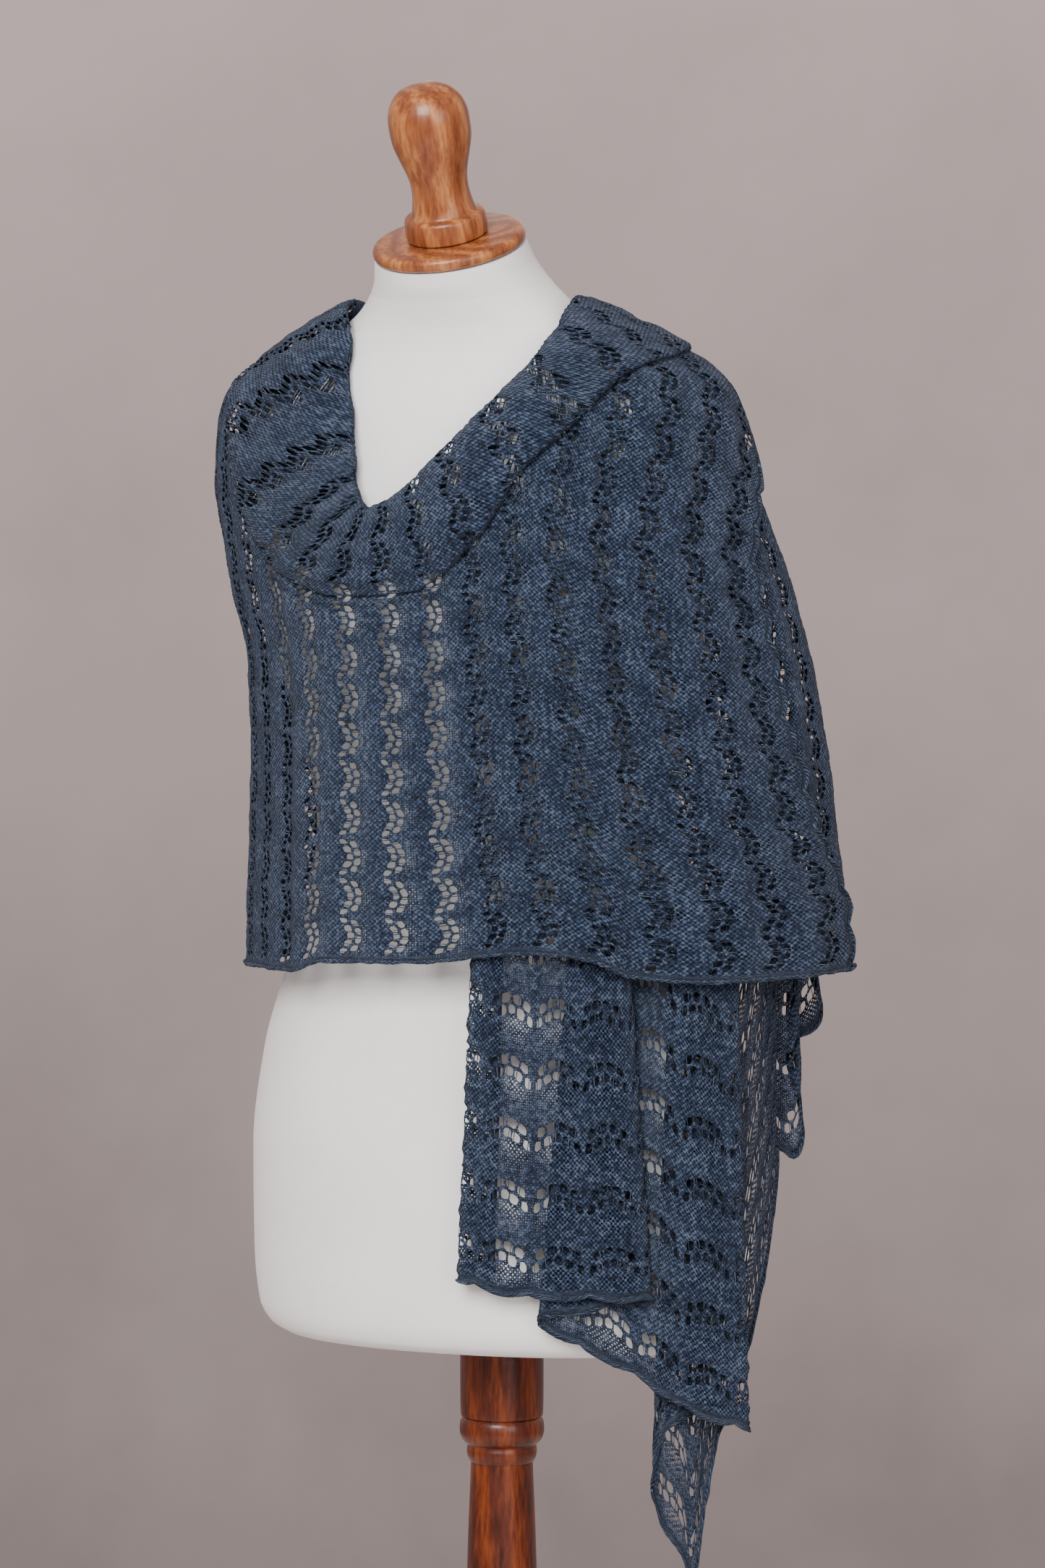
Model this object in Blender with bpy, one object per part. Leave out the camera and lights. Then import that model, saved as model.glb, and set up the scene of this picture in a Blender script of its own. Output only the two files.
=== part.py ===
"""A knitted lace shawl wrapped round a cloth-covered dress form on a turned wooden stand.

Metres, +Z up. The figure faces -Y and its left arm side is +X. The origin is on the floor,
under the post. The shawl is one long rectangle: one end hangs down in front of the left hip,
the cloth goes up over the left shoulder, round the back and the right arm, across the front
again over that first end, and ends at the left arm. Each stretch is a thin wall of its own.
Angles round the figure are in degrees: 0 is the front, 90 its left side, 180 the back.
"""
import math

import bpy
import numpy as np

# Thicknesses and gaps
CLOTH = 0.0015
SEAM = 0.0003
NECK_REACH = 0.080
LAYER_STEP = CLOTH + 0.0004
PLEAT_STEP = 0.0060
HANGING_DEPTH = 0.0101
EYELET = 0.0052
EYELET_COLUMN = 0.0125

# Gaps between the middle of the cloth and the padded form
PANEL_GAP = 0.0042
FRONT_GAP = 0.0090
RIDGE_GAP = 0.0085
CREASE_GAP = 0.0110
INNER_LEG_GAP = 0.0012
OUTER_LEG_GAP = 0.0075
FOLD_REST = 0.0006
TUCK = 0.003

# The padded form's section and the lean of its neck
FORM_EXPONENT = 2.2
NECK_CENTRE = (0.0, -0.0965, 1.5600)
CROWN_TILT = 24.0

# Levels and angles of the wrapped cloth
HANGING_TOP = 1.110
HANGING_REACH = 0.165
UNDER_HEM_RISE = 0.020
UNDER_LIFT = 0.004
FRONT_TURN = 22.0
START_ANGLE = -75.0
RIGHT_SEAM = -140.0
LEFT_SEAM = 140.0
UNDER_SEAM = 60.0
UNDER_START = 9.5
END_ANGLE = 86.0
LEAN_POWER = 4

# How far down each row of a panel lies, closer together over the shoulder
ROW_SHARES = (0.0, 0.045, 0.09, 0.135, 0.18, 0.225, 0.28, 0.35, 0.43, 0.51, 0.59, 0.67, 0.75, 0.83, 0.915, 1.0)
FIRST_EYELET_ROW = 5


def clear_scene():
    """Remove whatever the file opens with."""
    for item in list(bpy.data.objects):
        bpy.data.objects.remove(item, do_unlink=True)


def material(name, colour, roughness):
    """One plain surface."""
    surface = bpy.data.materials.new(name)
    surface.use_nodes = True
    shader = surface.node_tree.nodes["Principled BSDF"]
    shader.inputs["Base Color"].default_value = (*colour, 1.0)
    shader.inputs["Roughness"].default_value = roughness
    shader.inputs["Metallic"].default_value = 0.0
    return surface


def add_object(name, points, faces, surface, smooth=35.0):
    """Make one object from its points and faces."""
    mesh = bpy.data.meshes.new(name)
    mesh.from_pydata([tuple(p) for p in points], [], faces)
    mesh.shade_smooth()
    mesh.set_sharp_from_angle(angle=math.radians(smooth))
    mesh.materials.append(surface)
    item = bpy.data.objects.new(name, mesh)
    bpy.context.scene.collection.objects.link(item)
    return item


class Curve:
    """A short table read between its rows by a smooth curve that never overshoots.

    The first named column is the one it is read by.
    """

    def __init__(self, columns, rows):
        table = np.array(sorted(rows), float)
        assert table.shape[1] == len(columns.split()), columns
        self.at = table[:, 0]
        self.values = table[:, 1:]
        self.slopes = self.slopes_at_rows()

    def slopes_at_rows(self):
        """Slopes that keep each stretch between its two rows."""
        step = np.diff(self.at)[:, None]
        rise = np.diff(self.values, axis=0) / step
        slopes = np.zeros_like(self.values)
        slopes[0], slopes[-1] = rise[0], rise[-1]
        same = rise[:-1] * rise[1:] > 0.0
        before, after = 2 * step[1:] + step[:-1], step[1:] + 2 * step[:-1]
        lower = np.where(same, rise[:-1], 1.0)
        upper = np.where(same, rise[1:], 1.0)
        mean = (before + after) / (before / lower + after / upper)
        slopes[1:-1] = np.where(same, mean, 0.0)
        return slopes

    def __call__(self, x):
        """The columns at x, the end rows' values past the ends."""
        x = min(max(x, self.at[0]), self.at[-1])
        row = int(min(max(np.searchsorted(self.at, x) - 1, 0), len(self.at) - 2))
        width = self.at[row + 1] - self.at[row]
        t = (x - self.at[row]) / width
        low, high = self.values[row], self.values[row + 1]
        value = (low * (1 + 2 * t) * (1 - t) ** 2 + high * t * t * (3 - 2 * t)
                 + width * self.slopes[row] * t * (1 - t) ** 2
                 + width * self.slopes[row + 1] * t * t * (t - 1))
        return value[0] if len(value) == 1 else value


# The padded form: half its width, its depth in front of and behind its middle, the middle's y, and
# how far the ring leans forward in degrees
FORM = Curve("z half front back middle lean", [
    (0.800, 0.158, 0.108, 0.108, 0.000, 0),
    (0.806, 0.168, 0.117, 0.117, 0.000, 0),
    (0.820, 0.176, 0.123, 0.123, 0.000, 0),
    (0.860, 0.180, 0.126, 0.128, 0.000, 0),
    (0.930, 0.181, 0.126, 0.130, 0.000, 0),
    (1.000, 0.173, 0.118, 0.125, 0.000, 0),
    (1.050, 0.158, 0.108, 0.113, -0.002, 0),
    (1.100, 0.140, 0.098, 0.098, -0.005, 0),
    (1.160, 0.130, 0.092, 0.088, -0.010, 0),
    (1.250, 0.150, 0.110, 0.090, -0.012, 0),
    (1.320, 0.165, 0.126, 0.095, -0.022, 0),
    (1.380, 0.166, 0.114, 0.098, -0.028, 0),
    (1.430, 0.166, 0.095, 0.095, -0.035, 0),
    (1.460, 0.157, 0.081, 0.085, -0.041, 0),
    (1.483, 0.130, 0.069, 0.072, -0.046, 0),
    (1.502, 0.098, 0.062, 0.062, -0.055, 2),
    (1.518, 0.075, 0.057, 0.056, -0.066, 8),
    (1.532, 0.062, 0.053, 0.052, -0.077, 15),
    (1.543, 0.0555, 0.0515, 0.0505, -0.086, 20),
    (1.5553, 0.0520, 0.0500, 0.0500, -0.0944, 24),
])

# The wrapped cloth's rings: half widths to the right and left arm, depths in front and behind
CAPE = [
    (1.5240, 0.086, 0.085, 0.063, 0.062, -0.060),
    (1.5080, 0.112, 0.108, 0.070, 0.070, -0.053),
    (1.4920, 0.143, 0.134, 0.077, 0.084, -0.047),
    (1.4780, 0.170, 0.159, 0.085, 0.094, -0.044),
    (1.4600, 0.190, 0.178, 0.096, 0.102, -0.041),
    (1.4350, 0.197, 0.186, 0.109, 0.110, -0.038),
    (1.4000, 0.198, 0.194, 0.124, 0.116, -0.034),
    (1.3600, 0.192, 0.206, 0.135, 0.119, -0.029),
    (1.3200, 0.185, 0.219, 0.141, 0.120, -0.024),
    (1.2700, 0.175, 0.230, 0.146, 0.121, -0.017),
    (1.2100, 0.175, 0.238, 0.150, 0.122, -0.010),
    (1.1500, 0.178, 0.244, 0.153, 0.125, -0.005),
    (1.1000, 0.182, 0.248, 0.154, 0.130, -0.001),
    (1.0500, 0.183, 0.250, 0.155, 0.135, 0.000),
    (1.0000, 0.183, 0.250, 0.155, 0.137, 0.000),
]

# Where the lower edge of the wrapped cloth hangs
HEM_LINE = Curve("angle z", [
    (-180, 1.046), (-140, 1.054), (-100, 1.059), (-70, 1.060), (-36, 1.060), (-22, 1.069),
    (0, 1.0705), (18, 1.078), (28, 1.0745), (35, 1.063), (50, 1.059), (87, 1.062), (110, 1.060),
    (140, 1.052), (180, 1.046),
])

# The end edge of the front wrap at the left arm
END_EDGE = Curve("z angle", [
    (1.060, 91), (1.100, 91), (1.140, 84), (1.165, 78), (1.200, 76.5), (1.230, 73.5), (1.280, 73),
    (1.340, 75), (1.375, 84), (1.410, 98), (1.450, 112), (1.500, 124),
])

# Soft folds: the angle at the shoulder and at the hem, the half width, how far each stands out at
# the shoulder and at the hem
FOLDS = (
    (-62, -60, 8, 0.001, 0.003),
    (-41, -40, 6, -0.001, -0.003),
    (-22, -24, 9, 0.001, 0.003),
    (4, 6, 8, 0.001, -0.002),
    (28, 24, 8, 0.001, 0.002),
    (46, 36, 4, -0.002, -0.004),
    (54, 45, 6, 0.001, 0.002),
    (74, 66, 7, -0.001, -0.003),
    (96, 96, 8, 0.001, 0.004),
    (113, 116, 7, -0.002, -0.004),
    (134, 138, 9, 0.002, 0.005),
    (158, 160, 9, -0.002, -0.005),
    (181, 184, 9, 0.002, 0.005),
    (203, 205, 8, -0.002, -0.004),
    (226, 228, 10, 0.002, 0.005),
    (250, 252, 8, -0.001, -0.003),
)

# The neckline, from behind the right side of the neck, round the front and on behind the left
# side: the fold's ridge, the angle and height where its outer leg ends, and how far it bulges
NECKLINE = Curve("station ridge_x ridge_y ridge_z angle z bulge", [
    (-2, 0.004, 0.030, 1.5040, -178, 1.474, 0.008),
    (-1, -0.040, 0.020, 1.5110, -148, 1.481, 0.009),
    (0, -0.066, -0.004, 1.5170, -122, 1.486, 0.010),
    (1, -0.078, -0.048, 1.5180, -94, 1.486, 0.004),
    (2, -0.066, -0.104, 1.5070, -70, 1.474, 0.007),
    (3, -0.065, -0.119, 1.4760, -59, 1.440, 0.012),
    (4, -0.053, -0.139, 1.4280, -50, 1.386, 0.014),
    (5, -0.046, -0.152, 1.3940, -36, 1.338, 0.014),
    (6, -0.034, -0.157, 1.3770, -16, 1.319, 0.013),
    (7, -0.012, -0.154, 1.3880, 0, 1.322, 0.013),
    (8, 0.018, -0.146, 1.4175, 12, 1.353, 0.013),
    (9, 0.0485, -0.135, 1.4495, 22, 1.402, 0.013),
    (10, 0.070, -0.124, 1.4735, 33, 1.4355, 0.013),
    (11, 0.084, -0.106, 1.5000, 48, 1.468, 0.011),
    (12, 0.082, -0.070, 1.5180, 72, 1.480, 0.005),
    (13, 0.070, -0.024, 1.5170, 108, 1.486, 0.006),
    (14, 0.048, 0.012, 1.5130, 140, 1.482, 0.010),
    (15, 0.004, 0.030, 1.5040, 182, 1.474, 0.008),
])

# The hanging end seen square on, line by line from its neck edge: places across it at its top and at
# its lower edge, its layer behind the wrap, extra depth at the top and low, the lower edge's height
PLEATS = (
    (0.001, -0.006, 1.0, 0.000, 0.002, 0.856),
    (-0.012, -0.024, 1.0, 0.000, 0.002, 0.856),
    (-0.0195, -0.0305, 0.5, 0.000, 0.002, 0.856),
    (-0.012, -0.024, 0.0, 0.000, 0.002, 0.8535),
    (0.018, 0.010, 0.0, 0.000, 0.004, 0.846),
    (0.047, 0.056, 0.0, 0.000, 0.005, 0.8445),
    (0.077, 0.094, 0.0, 0.000, 0.004, 0.8435),
    (0.084, 0.102, 0.5, 0.000, 0.004, 0.844),
    (0.077, 0.094, 1.0, 0.000, 0.004, 0.842),
    (0.065, 0.062, 1.0, 0.000, 0.005, 0.836),
    (0.054, 0.032, 1.0, 0.000, 0.004, 0.831),
    (0.047, 0.024, 1.5, 0.000, 0.004, 0.828),
    (0.054, 0.032, 2.0, 0.000, 0.004, 0.822),
    (0.077, 0.062, 2.0, 0.000, 0.003, 0.806),
    (0.093, 0.092, 1.8, 0.000, 0.001, 0.790),
    (0.104, 0.109, 0.8, 0.000, 0.000, 0.780),
    (0.120, 0.124, 0.0, 0.000, -0.001, 0.771),
    (0.138, 0.146, 0.0, 0.000, -0.002, 0.762),
    (0.152, 0.160, 0.0, 0.000, -0.002, 0.757),
    (0.159, 0.167, 0.5, 0.000, -0.002, 0.7555),
    (0.152, 0.160, 1.0, 0.000, -0.001, 0.760),
    (0.136, 0.136, 1.3, 0.000, 0.000, 0.770),
    (0.121, 0.110, 2.0, 0.000, 0.001, 0.752),
    (0.114, 0.101, 2.5, 0.000, 0.001, 0.716),
    (0.121, 0.108, 3.0, 0.000, 0.001, 0.690),
    (0.128, 0.121, 3.0, 0.000, 0.001, 0.671),
    (0.135, 0.1285, 3.0, 0.000, 0.001, 0.650),
    (0.144, 0.1355, 2.9, 0.002, 0.003, 0.690),
    (0.154, 0.144, 2.8, 0.004, 0.006, 0.738),
    (0.166, 0.159, 2.5, 0.010, 0.014, 0.780),
    (0.177, 0.174, 2.2, 0.022, 0.028, 0.828),
    (0.186, 0.186, 2.0, 0.044, 0.050, 0.890),
    (0.188, 0.190, 2.0, 0.064, 0.066, 0.938),
    (0.182, 0.184, 2.0, 0.070, 0.072, 0.945),
    (0.184, 0.187, 2.0, 0.076, 0.078, 0.936),
    (0.197, 0.203, 2.0, 0.078, 0.081, 0.927),
    (0.203, 0.209, 2.0, 0.082, 0.085, 0.945),
    (0.201, 0.203, 2.0, 0.088, 0.091, 0.975),
    (0.197, 0.199, 2.0, 0.094, 0.096, 0.997),
    (0.201, 0.207, 2.0, 0.100, 0.101, 1.006),
    (0.211, 0.221, 2.0, 0.101, 0.102, 1.019),
    (0.214, 0.2235, 2.0, 0.106, 0.106, 1.032),
    (0.209, 0.217, 2.0, 0.111, 0.112, 1.050),
)

# Turned profiles: height along the axis and radius
PLATE_PROFILE = (
    (-0.0048, 0.0485), (-0.0040, 0.0510), (-0.0020, 0.0527), (0.0010, 0.0530), (0.0035, 0.0518),
    (0.0048, 0.0490),
)
FINIAL_PROFILE = (
    (0.0051, 0.0262), (0.0070, 0.0280), (0.0180, 0.0282), (0.0215, 0.0268), (0.0230, 0.0225),
    (0.0300, 0.0208), (0.0400, 0.0196), (0.0500, 0.0205), (0.0620, 0.0240), (0.0740, 0.0272),
    (0.0850, 0.0280), (0.0940, 0.0274), (0.1020, 0.0246), (0.1085, 0.0192), (0.1120, 0.0118),
    (0.1133, 0.0050),
)
POST_PROFILE = (
    (0.0303, 0.0330), (0.0400, 0.0360), (0.0540, 0.0372), (0.0660, 0.0350), (0.0720, 0.0290),
    (0.0800, 0.0268), (0.0900, 0.0290), (0.1000, 0.0296), (0.1100, 0.0282), (0.1180, 0.0262),
    (0.3000, 0.0278), (0.5000, 0.0268), (0.6330, 0.0246), (0.7080, 0.0219), (0.7120, 0.0240),
    (0.7165, 0.0248), (0.7205, 0.0242), (0.7225, 0.0266), (0.7270, 0.0292), (0.7320, 0.0299),
    (0.7375, 0.0292), (0.7415, 0.0272), (0.7445, 0.0293), (0.7820, 0.0295), (0.7830, 0.0288),
    (0.7840, 0.0295), (0.7997, 0.0292),
)
BASE_PROFILE = (
    (0.0000, 0.1900), (0.0040, 0.1940), (0.0140, 0.1950), (0.0190, 0.1930), (0.0220, 0.1850),
    (0.0240, 0.1500), (0.0270, 0.0700), (0.0290, 0.0600), (0.0300, 0.0500),
)


def direction(angle):
    """Sine and cosine of an angle given in degrees."""
    turn = math.radians(angle)
    return math.sin(turn), math.cos(turn)


def cape_levels():
    """The cape's rings by distance down its left side."""
    down = 0.0
    rows = []
    for index, row in enumerate(CAPE):
        if index:
            down += math.hypot(row[2] - CAPE[index - 1][2], row[0] - CAPE[index - 1][0])
        rows.append((down, *row))
    return Curve("down z right left front back middle", rows)


RINGS = cape_levels()
DOWN_OF_HEIGHT = Curve("z down", [(row[0], level) for row, level in zip(CAPE, RINGS.at)])


def fold_at(angle, down):
    """How far the soft folds stand out here."""
    share = min(max(down / RINGS.at[-1], 0.0), 1.0)
    out = 0.0
    for shoulder, hem, width, high, low in FOLDS:
        middle = shoulder + (hem - shoulder) * share
        turn = (angle - middle + 180.0) % 360.0 - 180.0
        out += (high + (low - high) * share) * math.exp(-((turn / width) ** 2))
    return out * min(1.0, share / 0.25)


def cape_point(angle, down, out=0.0):
    """A place on the wrapped cloth, moved out by a distance."""
    z, right, left, front, back, middle = RINGS(down)
    sine, cosine = direction(angle)
    out += fold_at(angle, down)
    half = (left if sine > 0 else right) + out
    depth = (front if cosine > 0 else back) + out
    steep = min(1.0, max(0.0, (down - 0.02) / 0.10))
    return np.array([half * sine, middle - depth * cosine, z + out * (1.0 - steep) * 0.6])


def smooth_step(x, low, high):
    """0 below low, 1 above high, soft between."""
    t = min(max((x - low) / (high - low), 0.0), 1.0)
    return t * t * (3 - 2 * t)


def top_layer(angle):
    """How far the front wrap lies outside the cape's rings."""
    return 0.005 * smooth_step(angle, 15.0, 75.0)


def under_layer(angle):
    """How far the first layer lies outside the cape's rings, less than none in front."""
    return -0.0075 * (1.0 - smooth_step(angle, 50.0, 95.0))


def fold_middle():
    """The line halfway between the fold's ridge and its outer leg's end."""
    rows = []
    for x, y, z, angle, height, _ in NECKLINE.values:
        middle = RINGS(DOWN_OF_HEIGHT(z))[5]
        ridge_angle = math.degrees(math.atan2(x, middle - y))
        if abs(ridge_angle - angle) > 180.0:
            ridge_angle += math.copysign(360.0, angle)
        rows.append(((ridge_angle + angle) / 2, (z + height) / 2))
    return Curve("angle z", rows)


MIDDLE_LINE = fold_middle()


def one_turn(angle):
    """The same angle between -180 and 180."""
    return (angle + 180.0) % 360.0 - 180.0


def hem_height(angle):
    """Height of the wrapped cloth's lower edge."""
    return HEM_LINE(one_turn(angle))


def panel_top(angle):
    """Height of a panel's upper edge, tucked up behind the neckline's fold."""
    nearby = [MIDDLE_LINE(one_turn(angle + step)) for step in (-8.0, -4.0, 0.0, 4.0, 8.0)]
    return sum(nearby) / len(nearby) - TUCK


def normals_of(grid):
    """Unit normals of a grid of points, rows running down and columns across."""
    across = np.gradient(grid, axis=1, edge_order=2)
    along = np.gradient(grid, axis=0, edge_order=2)
    normal = np.cross(along, across)
    return normal / np.linalg.norm(normal, axis=2, keepdims=True)


def wall(name, grid, surface, thickness=CLOTH, eyelets=()):
    """A closed wall on both sides of a grid of points, with square eyelets cut in some cells."""
    grid = np.array(grid)
    rows, columns = grid.shape[:2]
    normal = normals_of(grid)
    outer, inner = grid + normal * thickness / 2, grid - normal * thickness / 2
    points = list(outer.reshape(-1, 3)) + list(inner.reshape(-1, 3))
    total = rows * columns
    faces = []
    cut = set(eyelets)
    for row in range(rows - 1):
        for column in range(columns - 1):
            corner = row * columns + column
            cell = (corner, corner + columns, corner + columns + 1, corner + 1)
            if (row, column) in cut:
                pierce(points, faces, cell, total)
                continue
            faces += two_sides(cell, [total + p for p in cell])
    rim = [c for c in range(columns)]
    rim += [r * columns + columns - 1 for r in range(1, rows)]
    rim += [(rows - 1) * columns + c for c in range(columns - 2, -1, -1)]
    rim += [r * columns for r in range(rows - 2, 0, -1)]
    for here, there in zip(rim, rim[1:] + rim[:1]):
        faces.append((here, there, total + there, total + here))
    return add_object(name, points, faces, surface)


def two_sides(outer, inner):
    """Triangles of one four-sided patch, split the same way on the wall's two sides."""
    a, b, c, d = outer
    e, f, g, h = inner
    return [(a, b, c), (a, c, d), (g, f, e), (h, g, e)]


def pierce(points, faces, cell, total):
    """Cut one eyelet through a cell and line it."""
    corners = [points[p] for p in cell]
    down = np.linalg.norm(corners[1] - corners[0])
    across = np.linalg.norm(corners[3] - corners[0])
    share_down, share_across = EYELET / down / 2, EYELET / across / 2
    hole = []
    for offset in (0, total):
        first = len(points)
        corners = [points[p + offset] for p in cell]
        for part_down, part_across in ((-1, -1), (1, -1), (1, 1), (-1, 1)):
            v, u = 0.5 + part_down * share_down, 0.5 + part_across * share_across
            left = corners[0] * (1 - v) + corners[1] * v
            right = corners[3] * (1 - v) + corners[2] * v
            points.append(left * (1 - u) + right * u)
        hole.append(first)
    front, back = hole
    for side in range(4):
        after = (side + 1) % 4
        patch = (cell[side], cell[after], front + after, front + side)
        faces += two_sides(patch, (cell[side] + total, cell[after] + total, back + after, back + side))
        faces.append((front + side, front + after, back + after, back + side))


def turned(name, profile, surface, sides=24, centre=(0.0, 0.0, 0.0), lean=0.0):
    """A solid turned on a lathe, leaning forward by some degrees."""
    sine, cosine = direction(lean)
    points = []
    for height, radius in profile:
        for step in range(sides):
            turn = 2 * math.pi * step / sides
            points.append((radius * math.cos(turn), radius * math.sin(turn), height))
    points += [(0, 0, profile[0][0]), (0, 0, profile[-1][0])]
    bottom, top = len(points) - 2, len(points) - 1
    placed = [(x + centre[0], y * cosine - z * sine + centre[1], y * sine + z * cosine + centre[2])
              for x, y, z in points]
    faces = []
    last = (len(profile) - 1) * sides
    for step in range(sides):
        after = (step + 1) % sides
        faces.append((bottom, after, step))
        faces.append((top, last + step, last + after))
        for ring in range(0, last, sides):
            faces.append((ring + step, ring + after, ring + sides + after, ring + sides + step))
    return add_object(name, placed, faces, surface)


def form_ring(z, sides):
    """One ring of the padded form, leaning about its middle."""
    half, front, back, middle, lean = FORM(z)
    lean_sine, lean_cosine = direction(lean)
    power = 2.0 / FORM_EXPONENT
    ring = []
    for step in range(sides):
        sine, cosine = direction(360.0 * step / sides)
        x = half * math.copysign(abs(sine) ** power, sine)
        y = -(front if cosine > 0 else back) * math.copysign(abs(cosine) ** power, cosine)
        ring.append((x, middle + y * lean_cosine, z + y * lean_sine))
    return ring


def build_form(surface, sides=32):
    """The padded torso, closed flat underneath and under its neck plate."""
    heights = [*FORM.at[:3], 0.86, 0.91, 0.96, 1.00, 1.04, 1.08, 1.12, 1.16, 1.20, 1.24, 1.28,
               1.32, 1.35, 1.38, 1.41, 1.435, 1.455, 1.472, *FORM.at[-6:]]
    points = [p for z in heights for p in form_ring(z, sides)]
    top_row = form_ring(heights[-1], sides)
    points.append((0.0, 0.0, heights[0]))
    points.append(tuple(np.mean(np.array(top_row), axis=0)))
    faces = []
    last = (len(heights) - 1) * sides
    for step in range(sides):
        after = (step + 1) % sides
        faces.append((len(points) - 2, after, step))
        faces.append((len(points) - 1, last + step, last + after))
        for ring in range(0, last, sides):
            faces.append((ring + step, ring + after, ring + sides + after, ring + sides + step))
    return add_object("torso", points, faces, surface)


def form_distance(point):
    """Roughly how far outside the padded form a place is, and the way out from it."""
    def scale(place):
        half, front, back, middle, _ = FORM(place[2])
        y = place[1] - middle
        depth = front if y < 0 else back
        return ((abs(place[0]) / half) ** FORM_EXPONENT
                + (abs(y) / depth) ** FORM_EXPONENT) ** (1 / FORM_EXPONENT)
    step = 0.0005
    here = scale(point)
    slope = np.array([(scale(point + step * axis) - here) / step for axis in np.eye(3)])
    size = max(np.linalg.norm(slope), 1e-6)
    return (here - 1.0) / size, slope / size


def clear_of_form(point, gap):
    """The same place, moved out until it clears the padded form by a gap."""
    point = np.array(point, float)
    for _ in range(6):
        distance, away = form_distance(point)
        if distance >= gap:
            break
        point = point + away * (gap - distance)
    return point


def panel_grid(start, end, columns, layer, hem=hem_height, end_edge=None, gap=PANEL_GAP):
    """Points of one stretch of the wrapped cloth between two angles.

    An end edge that leans is followed by the last columns alone.
    """
    grid = []
    for fall in ROW_SHARES:
        line = []
        for column in range(columns + 1):
            share = column / columns
            straight = start + (end - start) * share
            angle = straight
            for _ in range(5):
                high = DOWN_OF_HEIGHT(panel_top(angle))
                low = DOWN_OF_HEIGHT(hem(angle))
                down = high + (low - high) * fall
                lean = end_edge(RINGS(down)[0]) - end if end_edge else 0.0
                angle = straight + lean * share ** LEAN_POWER
            point = cape_point(angle, down, layer(angle))
            line.append(clear_of_form(point, gap))
        grid.append(line)
    return grid


def eyelet_cells(columns):
    """The cells that hold an eyelet: all below the shoulder but those along the edges."""
    rows = range(FIRST_EYELET_ROW, len(ROW_SHARES) - 2)
    return [(row, column) for row in rows for column in range(1, columns - 1)]


def build_front_wrap(surface):
    """The top layer across the front, from the right arm to its end edge at the left arm."""
    columns = 17
    grid = panel_grid(START_ANGLE, END_ANGLE, columns, top_layer, end_edge=END_EDGE, gap=FRONT_GAP)
    return wall("front_wrap", grid, surface, eyelets=eyelet_cells(columns - 2))


def build_right_arm_panel(surface):
    """The cloth round the right arm."""
    columns = 7
    grid = panel_grid(RIGHT_SEAM, START_ANGLE - seam_angle(), columns, plain_layer)
    return wall("right_arm_panel", grid, surface, eyelets=eyelet_cells(columns))


def build_back_panel(surface):
    """The cloth across the back."""
    start, end = LEFT_SEAM - 360.0 + seam_angle(), RIGHT_SEAM - seam_angle()
    return wall("back_panel", panel_grid(start, end, 9, plain_layer), surface)


def build_left_arm_panel(surface):
    """The first layer over the left shoulder and arm, seen beyond the front wrap's end."""
    columns = 9
    grid = panel_grid(UNDER_SEAM, LEFT_SEAM, columns, under_layer, hem=under_hem)
    return wall("left_arm_panel", grid, surface, eyelets=eyelet_cells(columns))


def build_under_front(surface):
    """The first layer under the front wrap, from its neck edge to the left arm."""
    grid = panel_grid(UNDER_START, UNDER_SEAM - seam_angle(), 8, under_layer, hem=under_hem)
    return wall("under_front", grid, surface)


def under_hem(angle):
    """The first layer's lower edge, which the front wrap's hem hides."""
    hidden = UNDER_LIFT + (UNDER_HEM_RISE - UNDER_LIFT) * (1.0 - smooth_step(angle, 40.0, UNDER_SEAM))
    return hem_height(angle) + hidden * (1.0 - smooth_step(angle, 85.0, 110.0))


def plain_layer(angle):
    """A stretch that lies on the cape's rings themselves."""
    return 0.0


def seam_angle():
    """The angle that a seam's gap takes near the neck, where it is narrowest."""
    return math.degrees(SEAM / NECK_REACH)


def wrap_depth(across, height):
    """Depth of the wrapped cloth, seen square on to the hanging end, at a place across."""
    down = DOWN_OF_HEIGHT(height)
    turn_sine, turn_cosine = direction(FRONT_TURN)
    low, high = -20.0, 80.0
    for _ in range(40):
        middle = (low + high) / 2
        point = cape_point(middle, down)
        if point[0] * turn_cosine + point[1] * turn_sine < across:
            low = middle
        else:
            high = middle
    return -point[0] * turn_sine + point[1] * turn_cosine


def hanging_point(row, share):
    """A place on one line down the hanging end, share 0 at the top and 1 at the lower edge."""
    across_top, across_low, layer, deep_top, deep_low, bottom = row
    near = wrap_depth(min(across_top, HANGING_REACH), HANGING_TOP)
    depth_top = near + HANGING_DEPTH + layer * PLEAT_STEP + deep_top
    depth_low = near + HANGING_DEPTH + layer * PLEAT_STEP + deep_low
    across = across_top + (across_low - across_top) * share
    depth = depth_top + (depth_low - depth_top) * share
    turn_sine, turn_cosine = direction(FRONT_TURN)
    return np.array([across * turn_cosine - depth * turn_sine, across * turn_sine + depth * turn_cosine,
                     HANGING_TOP + (bottom - HANGING_TOP) * share])


def build_hanging_end(surface):
    """The pleated end that hangs in front of the left hip."""
    levels = (0.0, 0.15, 0.32, 0.48, 0.64, 0.80, 0.92, 1.0)
    grid = [[hanging_point(row, share) for row in PLEATS] for share in levels]
    steps = [abs(after[0] - before[0]) for before, after in zip(PLEATS, PLEATS[1:])]
    wide = [index for index, step in enumerate(steps) if step > EYELET_COLUMN]
    eyelets = [(level, column) for level in range(1, len(levels) - 2) for column in wide]
    return wall("hanging_end", grid, surface, eyelets=eyelets)


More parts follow.
